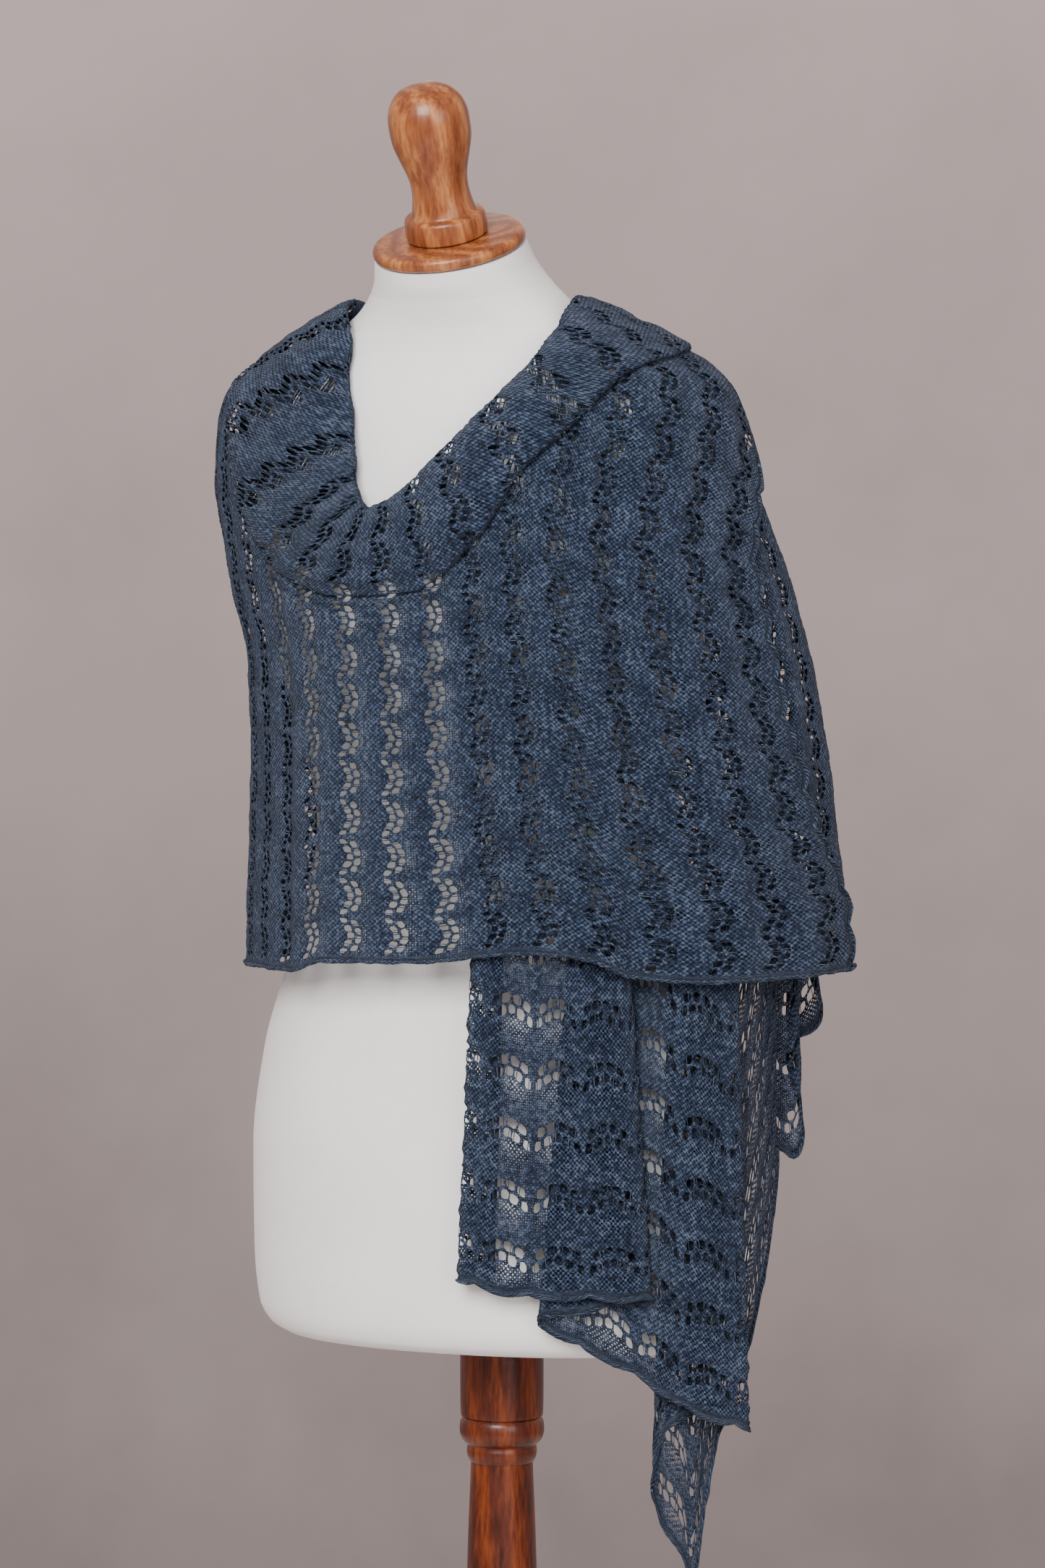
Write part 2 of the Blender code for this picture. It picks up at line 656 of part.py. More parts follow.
# The fold's section at the neckline: share of the way from the crease to the ridge, share of the
# bulge, and distances added along and out
FOLD_SECTION = (
    (0.00, 0.00, -0.0030, 0.0000),
    (0.00, 0.35, -0.0030, 0.0010),
    (0.12, 0.80, 0.0000, 0.0000),
    (0.35, 1.00, 0.0000, 0.0000),
    (0.60, 0.95, 0.0000, 0.0000),
    (0.82, 0.70, 0.0000, 0.0000),
    (0.97, 0.28, 0.0000, 0.0006),
    (1.00, 0.00, 0.0010, 0.0000),
    (0.96, 0.00, 0.0000, -0.0052),
    (0.80, 0.00, 0.0000, -0.0062),
    (0.66, 0.00, 0.0000, -0.0070),
)


def neck_section(station):
    """The fold's points at one station of the neckline, which runs on past its last row."""
    if station > NECKLINE.at[-1]:
        station -= NECKLINE.at[-1] - NECKLINE.at[0]
    x, y, z, angle, height, bulge = NECKLINE(station)
    ridge = clear_of_form((x, y, z), RIDGE_GAP)
    layer = top_layer(angle) + LAYER_STEP + FOLD_REST
    crease = clear_of_form(cape_point(angle, DOWN_OF_HEIGHT(height), layer), CREASE_GAP)
    along = ridge - crease
    length = np.linalg.norm(along)
    along = along / length
    away = form_distance((ridge + crease) / 2)[1]
    away = away - along * np.dot(away, along)
    away = away / np.linalg.norm(away)
    points = []
    for share, puff, shift, out in FOLD_SECTION:
        point = crease + along * (share * length + shift) + away * (puff * bulge + out)
        gap = INNER_LEG_GAP if out < -0.001 else OUTER_LEG_GAP
        points.append(clear_of_form(point, gap))
    return points


def build_neckline(name, first, last, steps, surface):
    """The soft fold along one stretch of the neckline."""
    stations = [first + (last - first) * step / steps for step in range(steps + 1)]
    sections = [neck_section(station) for station in stations]
    grid = [[section[index] for section in sections] for index in range(len(FOLD_SECTION) - 1, -1, -1)]
    return wall(name, grid, surface)


def build_stand(wood):
    """The turned wooden pieces."""
    turned("base_disc", BASE_PROFILE, wood, sides=36)
    turned("post", POST_PROFILE, wood, sides=20)
    turned("neck_plate", PLATE_PROFILE, wood, sides=32, centre=NECK_CENTRE, lean=CROWN_TILT)
    turned("finial", FINIAL_PROFILE, wood, sides=24, centre=NECK_CENTRE, lean=CROWN_TILT)


def main():
    """Build every piece in order."""
    clear_scene()
    knit = material("shawl_knit", (0.055, 0.095, 0.165), 0.9)
    linen = material("form_cover", (0.80, 0.79, 0.77), 0.85)
    wood = material("turned_wood", (0.38, 0.13, 0.05), 0.35)
    build_stand(wood)
    build_form(linen)
    build_front_wrap(knit)
    build_right_arm_panel(knit)
    build_back_panel(knit)
    build_left_arm_panel(knit)
    build_under_front(knit)
    build_hanging_end(knit)
    build_neckline("front_neck_fold", 0.0, 13.9, 30, knit)
    build_neckline("back_neck_fold", 13.917, 16.983, 9, knit)


main()
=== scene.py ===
"""The looks of a knitted lace shawl on a cloth-covered dress form with a turned wooden stand.

Metres, +Z up. The figure faces -Y and its left arm side is +X. Angles round the figure are in
degrees: 0 is the front, 90 its left side, 180 the back.

The shawl is feather-and-fan lace, charted here. One repeat is a fan: two arcs of eyelets over a field
of plain knitting. It is a mesh with real holes, laid out over each stretch of the cloth. Along the
cloth a repeat is called a band, and across it a fan.
"""
from __future__ import annotations

import logging
import math
from dataclasses import dataclass, field
from enum import Enum
from typing import Callable, Sequence

import bpy
import numpy as np
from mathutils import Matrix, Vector
from mathutils.geometry import delaunay_2d_cdt

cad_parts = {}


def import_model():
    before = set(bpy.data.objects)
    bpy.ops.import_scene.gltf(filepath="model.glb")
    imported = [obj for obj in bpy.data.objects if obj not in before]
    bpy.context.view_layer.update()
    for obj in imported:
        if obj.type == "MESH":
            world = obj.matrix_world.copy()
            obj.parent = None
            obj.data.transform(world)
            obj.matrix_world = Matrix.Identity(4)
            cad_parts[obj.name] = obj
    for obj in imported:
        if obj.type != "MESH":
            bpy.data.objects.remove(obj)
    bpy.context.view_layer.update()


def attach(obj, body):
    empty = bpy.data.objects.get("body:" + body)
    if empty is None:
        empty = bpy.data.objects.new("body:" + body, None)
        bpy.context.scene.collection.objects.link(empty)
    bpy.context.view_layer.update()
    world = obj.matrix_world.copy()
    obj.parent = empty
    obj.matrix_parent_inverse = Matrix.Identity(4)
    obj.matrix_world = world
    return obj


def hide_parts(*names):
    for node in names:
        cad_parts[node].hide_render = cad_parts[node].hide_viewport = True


logging.basicConfig(level=logging.INFO, format="%(message)s")
log = logging.getLogger("shawl")

BODY = "root"
Array = np.ndarray
Colour = tuple[float, float, float]

# The least length that a vector is divided by
TINY = 1e-9


class Slot(Enum):
    """The record's material slots."""

    KNIT = "shawl_knit"
    COVER = "form_cover"
    WOOD = "turned_wood"


class Curve:
    """A short table read between its rows by a smooth curve that never overshoots.

    The first named column is the one it is read by.
    """

    def __init__(self, columns: str, rows: Sequence[Sequence[float]]) -> None:
        """Sort the rows and work out their slopes.

        Args:
            columns: The columns' names, with spaces between them.
            rows: The table, in any order.
        """
        table = np.array(sorted(tuple(row) for row in rows), float)
        assert table.shape[1] == len(columns.split()), columns
        self.at = table[:, 0]
        self.values = table[:, 1:]
        self.slopes = self.slopes_at_rows()

    def slopes_at_rows(self) -> Array:
        """Slopes that keep each stretch between its two rows.

        Returns:
            A slope for each row and column.
        """
        step = np.diff(self.at)[:, None]
        rise = np.diff(self.values, axis=0) / step
        slopes = np.zeros_like(self.values)
        slopes[0], slopes[-1] = rise[0], rise[-1]
        same = rise[:-1] * rise[1:] > 0.0
        before, after = 2 * step[1:] + step[:-1], step[1:] + 2 * step[:-1]
        lower = np.where(same, rise[:-1], 1.0)
        upper = np.where(same, rise[1:], 1.0)
        mean = (before + after) / (before / lower + after / upper)
        slopes[1:-1] = np.where(same, mean, 0.0)
        return slopes

    def __call__(self, x: Array | float) -> Array:
        """Read the columns.

        Args:
            x: Where to read, of any shape. Past the ends it gives the end rows' values.

        Returns:
            One value for each x, or a last axis of them where the table has several columns.
        """
        x = np.clip(np.asarray(x, float), self.at[0], self.at[-1])
        row = np.clip(np.searchsorted(self.at, x) - 1, 0, len(self.at) - 2)
        width = (self.at[row + 1] - self.at[row])[..., None]
        t = (x - self.at[row])[..., None] / width
        value = (self.values[row] * (1 + 2 * t) * (1 - t) ** 2
                 + self.values[row + 1] * t * t * (3 - 2 * t)
                 + width * self.slopes[row] * t * (1 - t) ** 2
                 + width * self.slopes[row + 1] * t * t * (t - 1))
        return value[..., 0] if value.shape[-1] == 1 else value


def smooth_step(x: Array | float, low: float, high: float) -> Array:
    """0 below low, 1 above high, soft between."""
    t = np.clip((np.asarray(x, float) - low) / (high - low), 0.0, 1.0)
    return t * t * (3 - 2 * t)


def rounded(points: Array, steps: int) -> Array:
    """Put a rounded line through the rows of an array.

    Args:
        points: Rows along axis 0, of any further shape.
        steps: How many steps to take between two rows.

    Returns:
        The rows of the rounded line, the given rows among them.
    """
    padded = np.concatenate([2 * points[:1] - points[1:2], points, 2 * points[-1:] - points[-2:-1]])
    rows = []
    for index in range(len(points) - 1):
        before, low, high, after = padded[index:index + 4]
        for step in range(steps):
            t = step / steps
            rows.append(0.5 * (2 * low + (high - before) * t
                               + (2 * before - 5 * low + 4 * high - after) * t * t
                               + (3 * low - before - 3 * high + after) * t ** 3))
    rows.append(points[-1])
    return np.array(rows)


# The padded form: half its width, its depth in front of and behind its middle, the middle's y, and
# how far the ring leans forward in degrees
FORM = Curve("z half front back middle lean", [
    (0.800, 0.158, 0.108, 0.108, 0.000, 0),
    (0.806, 0.168, 0.117, 0.117, 0.000, 0),
    (0.820, 0.176, 0.123, 0.123, 0.000, 0),
    (0.860, 0.180, 0.126, 0.128, 0.000, 0),
    (0.930, 0.181, 0.126, 0.130, 0.000, 0),
    (1.000, 0.173, 0.118, 0.125, 0.000, 0),
    (1.050, 0.158, 0.108, 0.113, -0.002, 0),
    (1.100, 0.140, 0.098, 0.098, -0.005, 0),
    (1.160, 0.130, 0.092, 0.088, -0.010, 0),
    (1.250, 0.150, 0.110, 0.090, -0.012, 0),
    (1.320, 0.165, 0.126, 0.095, -0.022, 0),
    (1.380, 0.166, 0.114, 0.098, -0.028, 0),
    (1.430, 0.166, 0.095, 0.095, -0.035, 0),
    (1.460, 0.157, 0.081, 0.085, -0.041, 0),
    (1.483, 0.130, 0.069, 0.072, -0.046, 0),
    (1.502, 0.098, 0.062, 0.062, -0.055, 2),
    (1.518, 0.075, 0.057, 0.056, -0.066, 8),
    (1.532, 0.062, 0.053, 0.052, -0.077, 15),
    (1.543, 0.0555, 0.0515, 0.0505, -0.086, 20),
    (1.5553, 0.0520, 0.0500, 0.0500, -0.0944, 24),
])
FORM_EXPONENT = 2.2

# The wrapped cloth's rings: height, half widths to the right and left arm, depths in front and
# behind, the middle's y
CAPE = [
    (1.5240, 0.086, 0.085, 0.063, 0.062, -0.060),
    (1.5080, 0.112, 0.108, 0.070, 0.070, -0.053),
    (1.4920, 0.143, 0.134, 0.077, 0.084, -0.047),
    (1.4780, 0.170, 0.159, 0.085, 0.094, -0.044),
    (1.4600, 0.190, 0.178, 0.096, 0.102, -0.041),
    (1.4350, 0.197, 0.186, 0.109, 0.110, -0.038),
    (1.4000, 0.198, 0.194, 0.124, 0.116, -0.034),
    (1.3600, 0.192, 0.206, 0.135, 0.119, -0.029),
    (1.3200, 0.185, 0.219, 0.141, 0.120, -0.024),
    (1.2700, 0.175, 0.230, 0.146, 0.121, -0.017),
    (1.2100, 0.175, 0.238, 0.150, 0.122, -0.010),
    (1.1500, 0.178, 0.244, 0.153, 0.125, -0.005),
    (1.1000, 0.182, 0.248, 0.154, 0.130, -0.001),
    (1.0500, 0.183, 0.250, 0.155, 0.135, 0.000),
    (1.0000, 0.183, 0.250, 0.155, 0.137, 0.000),
]

# Where the lower edge of the wrapped cloth hangs
HEM_LINE = Curve("angle z", [
    (-180, 1.046), (-140, 1.054), (-100, 1.059), (-70, 1.060), (-36, 1.060), (-22, 1.069),
    (0, 1.0705), (18, 1.078), (28, 1.0745), (35, 1.063), (50, 1.059), (87, 1.062), (110, 1.060),
    (140, 1.052), (180, 1.046),
])

# The end edge of the front wrap at the left arm
END_EDGE = Curve("z angle", [
    (1.060, 91), (1.100, 91), (1.140, 84), (1.165, 78), (1.200, 76.5), (1.230, 73.5), (1.280, 73),
    (1.340, 75), (1.375, 84), (1.410, 98), (1.450, 112), (1.500, 124),
])

# Soft folds: the angle at the shoulder and at the hem, the half width, how far each stands out at
# the shoulder and at the hem
FOLDS = (
    (-62, -60, 8, 0.001, 0.003),
    (-41, -40, 6, -0.001, -0.003),
    (-22, -24, 9, 0.001, 0.003),
    (4, 6, 8, 0.001, -0.002),
    (28, 24, 8, 0.001, 0.002),
    (46, 36, 4, -0.002, -0.004),
    (54, 45, 6, 0.001, 0.002),
    (74, 66, 7, -0.001, -0.003),
    (96, 96, 8, 0.001, 0.004),
    (113, 116, 7, -0.002, -0.004),
    (134, 138, 9, 0.002, 0.005),
    (158, 160, 9, -0.002, -0.005),
    (181, 184, 9, 0.002, 0.005),
    (203, 205, 8, -0.002, -0.004),
    (226, 228, 10, 0.002, 0.005),
    (250, 252, 8, -0.001, -0.003),
)

# Finer creases between them, given in the same way
CREASES = (
    (-70, -68, 2.2, 0.0006, 0.0014),
    (-54, -52, 2.0, -0.0008, -0.0016),
    (-33, -33, 2.4, 0.0006, 0.0012),
    (-14, -15, 2.6, -0.0006, -0.0010),
    (11, 14, 2.4, 0.0008, 0.0010),
    (20, 19, 1.8, -0.0008, -0.0010),
    (38, 31, 2.2, 0.0012, 0.0020),
    (42, 34, 1.4, -0.0014, -0.0022),
    (62, 54, 2.4, 0.0010, 0.0016),
    (68, 60, 2.0, -0.0010, -0.0014),
    (84, 78, 2.8, 0.0010, 0.0018),
    (104, 106, 3.0, 0.0010, 0.0018),
    (124, 127, 2.6, -0.0010, -0.0018),
    (146, 149, 3.0, 0.0010, 0.0020),
    (170, 172, 2.6, -0.0010, -0.0020),
    (193, 195, 3.0, 0.0010, 0.0020),
    (215, 217, 2.6, -0.0010, -0.0018),
    (238, 240, 2.8, 0.0010, 0.0018),
    (262, 264, 2.6, -0.0010, -0.0016),
    (275, 277, 2.4, 0.0008, 0.0014),
)

# The neckline, from behind the right side of the neck, round the front and on behind the left
# side: the fold's ridge, the angle and height where its outer leg ends, and how far it bulges
NECKLINE = Curve("station ridge_x ridge_y ridge_z angle z bulge", [
    (-2, 0.004, 0.030, 1.5040, -178, 1.474, 0.008),
    (-1, -0.040, 0.020, 1.5110, -148, 1.481, 0.009),
    (0, -0.066, -0.004, 1.5170, -122, 1.486, 0.010),
    (1, -0.078, -0.048, 1.5180, -94, 1.486, 0.004),
    (2, -0.066, -0.104, 1.5070, -70, 1.474, 0.007),
    (3, -0.065, -0.119, 1.4760, -59, 1.440, 0.012),
    (4, -0.053, -0.139, 1.4280, -50, 1.386, 0.014),
    (5, -0.046, -0.152, 1.3940, -36, 1.338, 0.014),
    (6, -0.034, -0.157, 1.3770, -16, 1.319, 0.013),
    (7, -0.012, -0.154, 1.3880, 0, 1.322, 0.013),
    (8, 0.018, -0.146, 1.4175, 12, 1.353, 0.013),
    (9, 0.0485, -0.135, 1.4495, 22, 1.402, 0.013),
    (10, 0.070, -0.124, 1.4735, 33, 1.4355, 0.013),
    (11, 0.084, -0.106, 1.5000, 48, 1.468, 0.011),
    (12, 0.082, -0.070, 1.5180, 72, 1.480, 0.005),
    (13, 0.070, -0.024, 1.5170, 108, 1.486, 0.006),
    (14, 0.048, 0.012, 1.5130, 140, 1.482, 0.010),
    (15, 0.004, 0.030, 1.5040, 182, 1.474, 0.008),
])

# The neckline's station at each angle where its outer leg ends
STATION_AT = Curve("angle station", [(row[3], at) for at, row in zip(NECKLINE.at, NECKLINE.values)])

# The fold's section at the neckline, from the crease up over the ridge: share of the way to the
# ridge, share of the bulge where the fold lies softly and where it is a firm roll, how far it overhangs
# the crease as a share of the overhang, and a distance added out
FOLD_SECTION = (
    (0.00, 0.00, 0.00, 0.0, -0.0012),
    (0.02, 0.10, 0.38, 1.0, 0.0010),
    (0.12, 0.34, 0.80, 0.3, 0.0000),
    (0.35, 0.80, 1.00, 0.0, 0.0000),
    (0.60, 0.95, 0.95, 0.0, 0.0000),
    (0.82, 0.70, 0.70, 0.0, 0.0000),
    (0.97, 0.28, 0.28, 0.0, 0.0006),
    (1.00, 0.00, 0.00, -0.2, 0.0000),
    (0.96, 0.00, 0.00, 0.0, -0.0052),
    (0.80, 0.00, 0.00, 0.0, -0.0062),
    (0.60, 0.00, 0.00, 0.0, -0.0070),
    (0.35, 0.00, 0.00, 0.0, -0.0075),
    (0.10, 0.00, 0.00, 0.0, -0.0080),
)

# How firmly the neckline's fold rolls along it, and how far the roll overhangs its crease
FIRMNESS = Curve("station firm overhang", [
    (-2, 0.5, 0.001), (0, 0.6, 0.002), (1.5, 0.5, 0.002), (3, 0.45, 0.002), (4.5, 0.45, 0.004),
    (6, 0.45, 0.004), (7.3, 0.6, 0.004), (8.3, 0.9, 0.006), (9.5, 1.0, 0.007), (11.5, 1.0, 0.006),
    (12.6, 0.8, 0.003), (13.6, 0.5, 0.001), (15, 0.5, 0.001),
])

# Swags along the neckline's fold: the section row each lies at where it starts and ends, the
# stations it runs between, how wide it is in section rows and how far it stands out
SWAGS = (
    (3.2, 3.7, 2.3, 8.9, 0.40, -0.0026),
    (3.9, 4.4, 2.6, 8.6, 0.36, 0.0022),
    (4.6, 4.7, 3.4, 7.6, 0.32, -0.0034),
    (5.7, 6.0, 3.2, 7.2, 0.38, -0.0026),
    (6.7, 6.5, 1.8, 5.4, 0.36, 0.0018),
    (3.5, 3.9, 0.2, 4.2, 0.34, -0.0024),
    (5.1, 4.5, 0.6, 4.6, 0.32, -0.0020),
    (6.3, 5.5, -0.6, 3.0, 0.34, -0.0016),
    (4.9, 3.9, 9.0, 12.8, 0.40, -0.0014),
    (6.3, 4.9, 10.4, 14.2, 0.38, -0.0018),
    (0.4, 0.9, 3.2, 8.0, 0.40, 0.0026),
    (0.0, 0.2, 4.0, 7.4, 0.36, -0.0020),
)

# The hanging end seen square on, line by line from its neck edge: places across it at its top and at
# its lower edge, its layer behind the wrap, extra depth at the top and low, the lower edge's height
PLEATS = (
    (0.001, -0.006, 1.0, 0.000, 0.002, 0.856),
    (-0.012, -0.024, 1.0, 0.000, 0.002, 0.856),
    (-0.0195, -0.0305, 0.5, 0.000, 0.002, 0.856),
    (-0.012, -0.024, 0.0, 0.000, 0.002, 0.8535),
    (0.018, 0.010, 0.0, 0.000, 0.004, 0.846),
    (0.047, 0.056, 0.0, 0.000, 0.005, 0.8445),
    (0.077, 0.094, 0.0, 0.000, 0.004, 0.8435),
    (0.084, 0.102, 0.5, 0.000, 0.004, 0.844),
    (0.077, 0.094, 1.0, 0.000, 0.004, 0.842),
    (0.065, 0.062, 1.0, 0.000, 0.005, 0.836),
    (0.054, 0.032, 1.0, 0.000, 0.004, 0.831),
    (0.047, 0.024, 1.5, 0.000, 0.004, 0.828),
    (0.054, 0.032, 2.0, 0.000, 0.004, 0.822),
    (0.077, 0.062, 2.0, 0.000, 0.003, 0.806),
    (0.093, 0.092, 1.8, 0.000, 0.001, 0.790),
    (0.104, 0.109, 0.8, 0.000, 0.000, 0.780),
    (0.120, 0.124, 0.0, 0.000, -0.001, 0.771),
    (0.138, 0.146, 0.0, 0.000, -0.002, 0.762),
    (0.152, 0.160, 0.0, 0.000, -0.002, 0.757),
    (0.159, 0.167, 0.5, 0.000, -0.002, 0.7555),
    (0.152, 0.160, 1.0, 0.000, -0.001, 0.760),
    (0.136, 0.136, 1.3, 0.000, 0.000, 0.770),
    (0.121, 0.110, 2.0, 0.000, 0.001, 0.752),
    (0.114, 0.101, 2.5, 0.000, 0.001, 0.716),
    (0.121, 0.108, 3.0, 0.000, 0.001, 0.690),
    (0.128, 0.121, 3.0, 0.000, 0.001, 0.671),
    (0.135, 0.1285, 3.0, 0.000, 0.001, 0.650),
    (0.144, 0.1355, 2.9, 0.002, 0.003, 0.690),
    (0.154, 0.144, 2.8, 0.004, 0.006, 0.738),
    (0.166, 0.159, 2.5, 0.010, 0.014, 0.780),
    (0.177, 0.174, 2.2, 0.022, 0.028, 0.828),
    (0.186, 0.186, 2.0, 0.044, 0.050, 0.890),
    (0.188, 0.190, 2.0, 0.064, 0.066, 0.938),
    (0.182, 0.184, 2.0, 0.070, 0.072, 0.945),
    (0.184, 0.187, 2.0, 0.076, 0.078, 0.936),
    (0.197, 0.203, 2.0, 0.078, 0.081, 0.927),
    (0.203, 0.209, 2.0, 0.082, 0.085, 0.945),
    (0.201, 0.203, 2.0, 0.088, 0.091, 0.975),
    (0.197, 0.199, 2.0, 0.094, 0.096, 0.997),
    (0.201, 0.207, 2.0, 0.100, 0.101, 1.006),
    (0.211, 0.221, 2.0, 0.101, 0.102, 1.019),
    (0.214, 0.2235, 2.0, 0.106, 0.106, 1.032),
    (0.209, 0.217, 2.0, 0.111, 0.112, 1.050),
)

# Turned profiles: height along the axis and radius
PLATE_PROFILE = (
    (-0.0048, 0.0485), (-0.0044, 0.0501), (-0.0034, 0.0516), (-0.0018, 0.0527), (0.0004, 0.0530),
    (0.0024, 0.0526), (0.0038, 0.0516), (0.0045, 0.0503), (0.0048, 0.0488),
)
FINIAL_PROFILE = (
    (0.0051, 0.0262), (0.0058, 0.0274), (0.0070, 0.0281), (0.0120, 0.0284), (0.0180, 0.0282),
    (0.0203, 0.0276), (0.0215, 0.0264), (0.0222, 0.0240), (0.0234, 0.0224), (0.0300, 0.0208),
    (0.0400, 0.0196), (0.0500, 0.0205), (0.0620, 0.0240), (0.0740, 0.0272), (0.0850, 0.0280),
    (0.0940, 0.0274), (0.1020, 0.0246), (0.1085, 0.0192), (0.1120, 0.0118), (0.1133, 0.0050),
)
POST_PROFILE = (
    (0.0303, 0.0330), (0.0340, 0.0348), (0.0400, 0.0360), (0.0540, 0.0372), (0.0620, 0.0364),
    (0.0680, 0.0340), (0.0712, 0.0300), (0.0735, 0.0279), (0.0800, 0.0268), (0.0900, 0.0290),
    (0.1000, 0.0296), (0.1100, 0.0282), (0.1180, 0.0262), (0.3000, 0.0278), (0.5000, 0.0268),
    (0.6330, 0.0246), (0.7070, 0.0219), (0.7088, 0.0226), (0.7120, 0.0241), (0.7165, 0.0248),
    (0.7198, 0.0243), (0.7210, 0.0246), (0.7232, 0.0272), (0.7270, 0.0292), (0.7320, 0.0299),
    (0.7375, 0.0292), (0.7408, 0.0272), (0.7418, 0.0274), (0.7440, 0.0292), (0.7800, 0.0295),
    (0.7822, 0.0293), (0.7829, 0.0284), (0.7838, 0.0293), (0.7997, 0.0292),
)
BASE_PROFILE = (
    (0.0000, 0.1900), (0.0012, 0.1922), (0.0040, 0.1942), (0.0090, 0.1950), (0.0140, 0.1949),
    (0.0178, 0.1936), (0.0200, 0.1912), (0.0212, 0.1870), (0.0220, 0.1820), (0.0240, 0.1500),
    (0.0262, 0.1000), (0.0272, 0.0700), (0.0286, 0.0620), (0.0300, 0.0520),
)
NECK_CENTRE = (0.0, -0.0965, 1.5600)
CROWN_LEAN = 24.0


def direction(angle: Array | float) -> tuple[Array, Array]:
    """Sine and cosine of an angle given in degrees."""
    turn = np.radians(angle)
    return np.sin(turn), np.cos(turn)


def one_turn(angle: Array) -> Array:
    """The same angle between -180 and 180."""
    return (angle + 180.0) % 360.0 - 180.0


def unit(vectors: Array) -> Array:
    """The same vectors at a length of 1."""
    return vectors / np.maximum(np.linalg.norm(vectors, axis=-1, keepdims=True), TINY)


def split(values: Array) -> list[Array]:
    """The last axis's columns, one by one."""
    return list(np.moveaxis(values, -1, 0))


def grid_normals(grid: Array) -> Array:
    """Unit normals of a grid of places.

    Args:
        grid: Places whose rows run across the cloth and whose columns run along it.

    Returns:
        One normal for each place.
    """
    across = np.gradient(grid, axis=0, edge_order=2)
    along = np.gradient(grid, axis=1, edge_order=2)
    return unit(np.cross(along, across))


def add_object(name: str, data: bpy.types.ID) -> bpy.types.Object:
    """Make an object and put it in the scene.

    Args:
        name: The object's name.
        data: Its mesh, camera or light.

    Returns:
        The object.
    """
    item = bpy.data.objects.new(name, data)
    bpy.context.scene.collection.objects.link(item)
    return item


def smooth_object(name: str, points: Array, faces: Sequence[Sequence[int]], kept: dict[str, Array],
                  sharp: float | None = None) -> bpy.types.Object:
    """Make a mesh object that is shaded smooth.

    Args:
        name: The object's name.
        points: The mesh's points.
        faces: The point numbers of each face.
        kept: Numbers or vectors that the mesh keeps at its points, by attribute name.
        sharp: The angle in degrees past which an edge stays sharp, or None.

    Returns:
        The object.
    """
    data = bpy.data.meshes.new(name)
    data.from_pydata(points.tolist(), [], faces)
    data.shade_smooth()
    if sharp is not None:
        data.set_sharp_from_angle(angle=math.radians(sharp))
    for key, values in kept.items():
        kind, part = ("FLOAT", "value") if values.ndim == 1 else ("FLOAT_VECTOR", "vector")
        attribute = data.attributes.new(key, kind, "POINT")
        attribute.data.foreach_set(part, values.astype(np.float32).ravel())
    return add_object(name, data)


def capped_faces(rings: int, sides: int) -> list[tuple[int, ...]]:
    """Faces between stacked rings of points, closed by a fan round a centre point at each end.

    Args:
        rings: How many rings there are, lowest first.
        sides: How many points each ring has.

    Returns:
        The faces. The centre points are numbered after the rings, the lower one first.
    """
    bottom, top, last = rings * sides, rings * sides + 1, (rings - 1) * sides
    faces = []
    for step in range(sides):
        after = (step + 1) % sides
        faces.append((bottom, after, step))
        faces.append((top, last + step, last + after))
        for ring in range(0, last, sides):
            faces.append((ring + step, ring + after, ring + sides + after, ring + sides + step))
    return faces


@dataclass(frozen=True)
class PaddedForm:
    """The surface of the padded dress form, which the cloth keeps clear of."""

    step: float = 0.0005
    least_slope: float = 1e-6
    passes: int = 6

    def scale_at(self, points: Array) -> Array:
        """How many times the form's own size each place is away from its middle line.

        Args:
            points: Places, with x, y and z on the last axis.

        Returns:
            The scales, which are 1 on the form's surface.
        """
        half, front, back, middle, _ = split(FORM(points[..., 2]))
        y = points[..., 1] - middle
        depth = np.where(y < 0, front, back)
        return ((np.abs(points[..., 0]) / half) ** FORM_EXPONENT
                + (np.abs(y) / depth) ** FORM_EXPONENT) ** (1 / FORM_EXPONENT)

    def distance(self, points: Array) -> tuple[Array, Array]:
        """Roughly how far outside the form each place is.

        Args:
            points: Places, with x, y and z on the last axis.

        Returns:
            The distances, and the unit vectors that point away from the form.
        """
        here = self.scale_at(points)
        ahead = [self.scale_at(points + self.step * axis) for axis in np.eye(3)]
        slope = np.stack([(scale - here) / self.step for scale in ahead], -1)
        size = np.maximum(np.linalg.norm(slope, axis=-1), self.least_slope)
        return (here - 1.0) / size, slope / size[..., None]

    def clear(self, points: Array, gap: Array | float) -> Array:
        """Move places out until they clear the form.

        Args:
            points: Places, with x, y and z on the last axis.
            gap: The least distance from the form.

        Returns:
            The moved places.
        """
        points = np.array(points, float)
        for _ in range(self.passes):
            distance, away = self.distance(points)
            points = points + away * np.maximum(gap - distance, 0.0)[..., None]
        return points


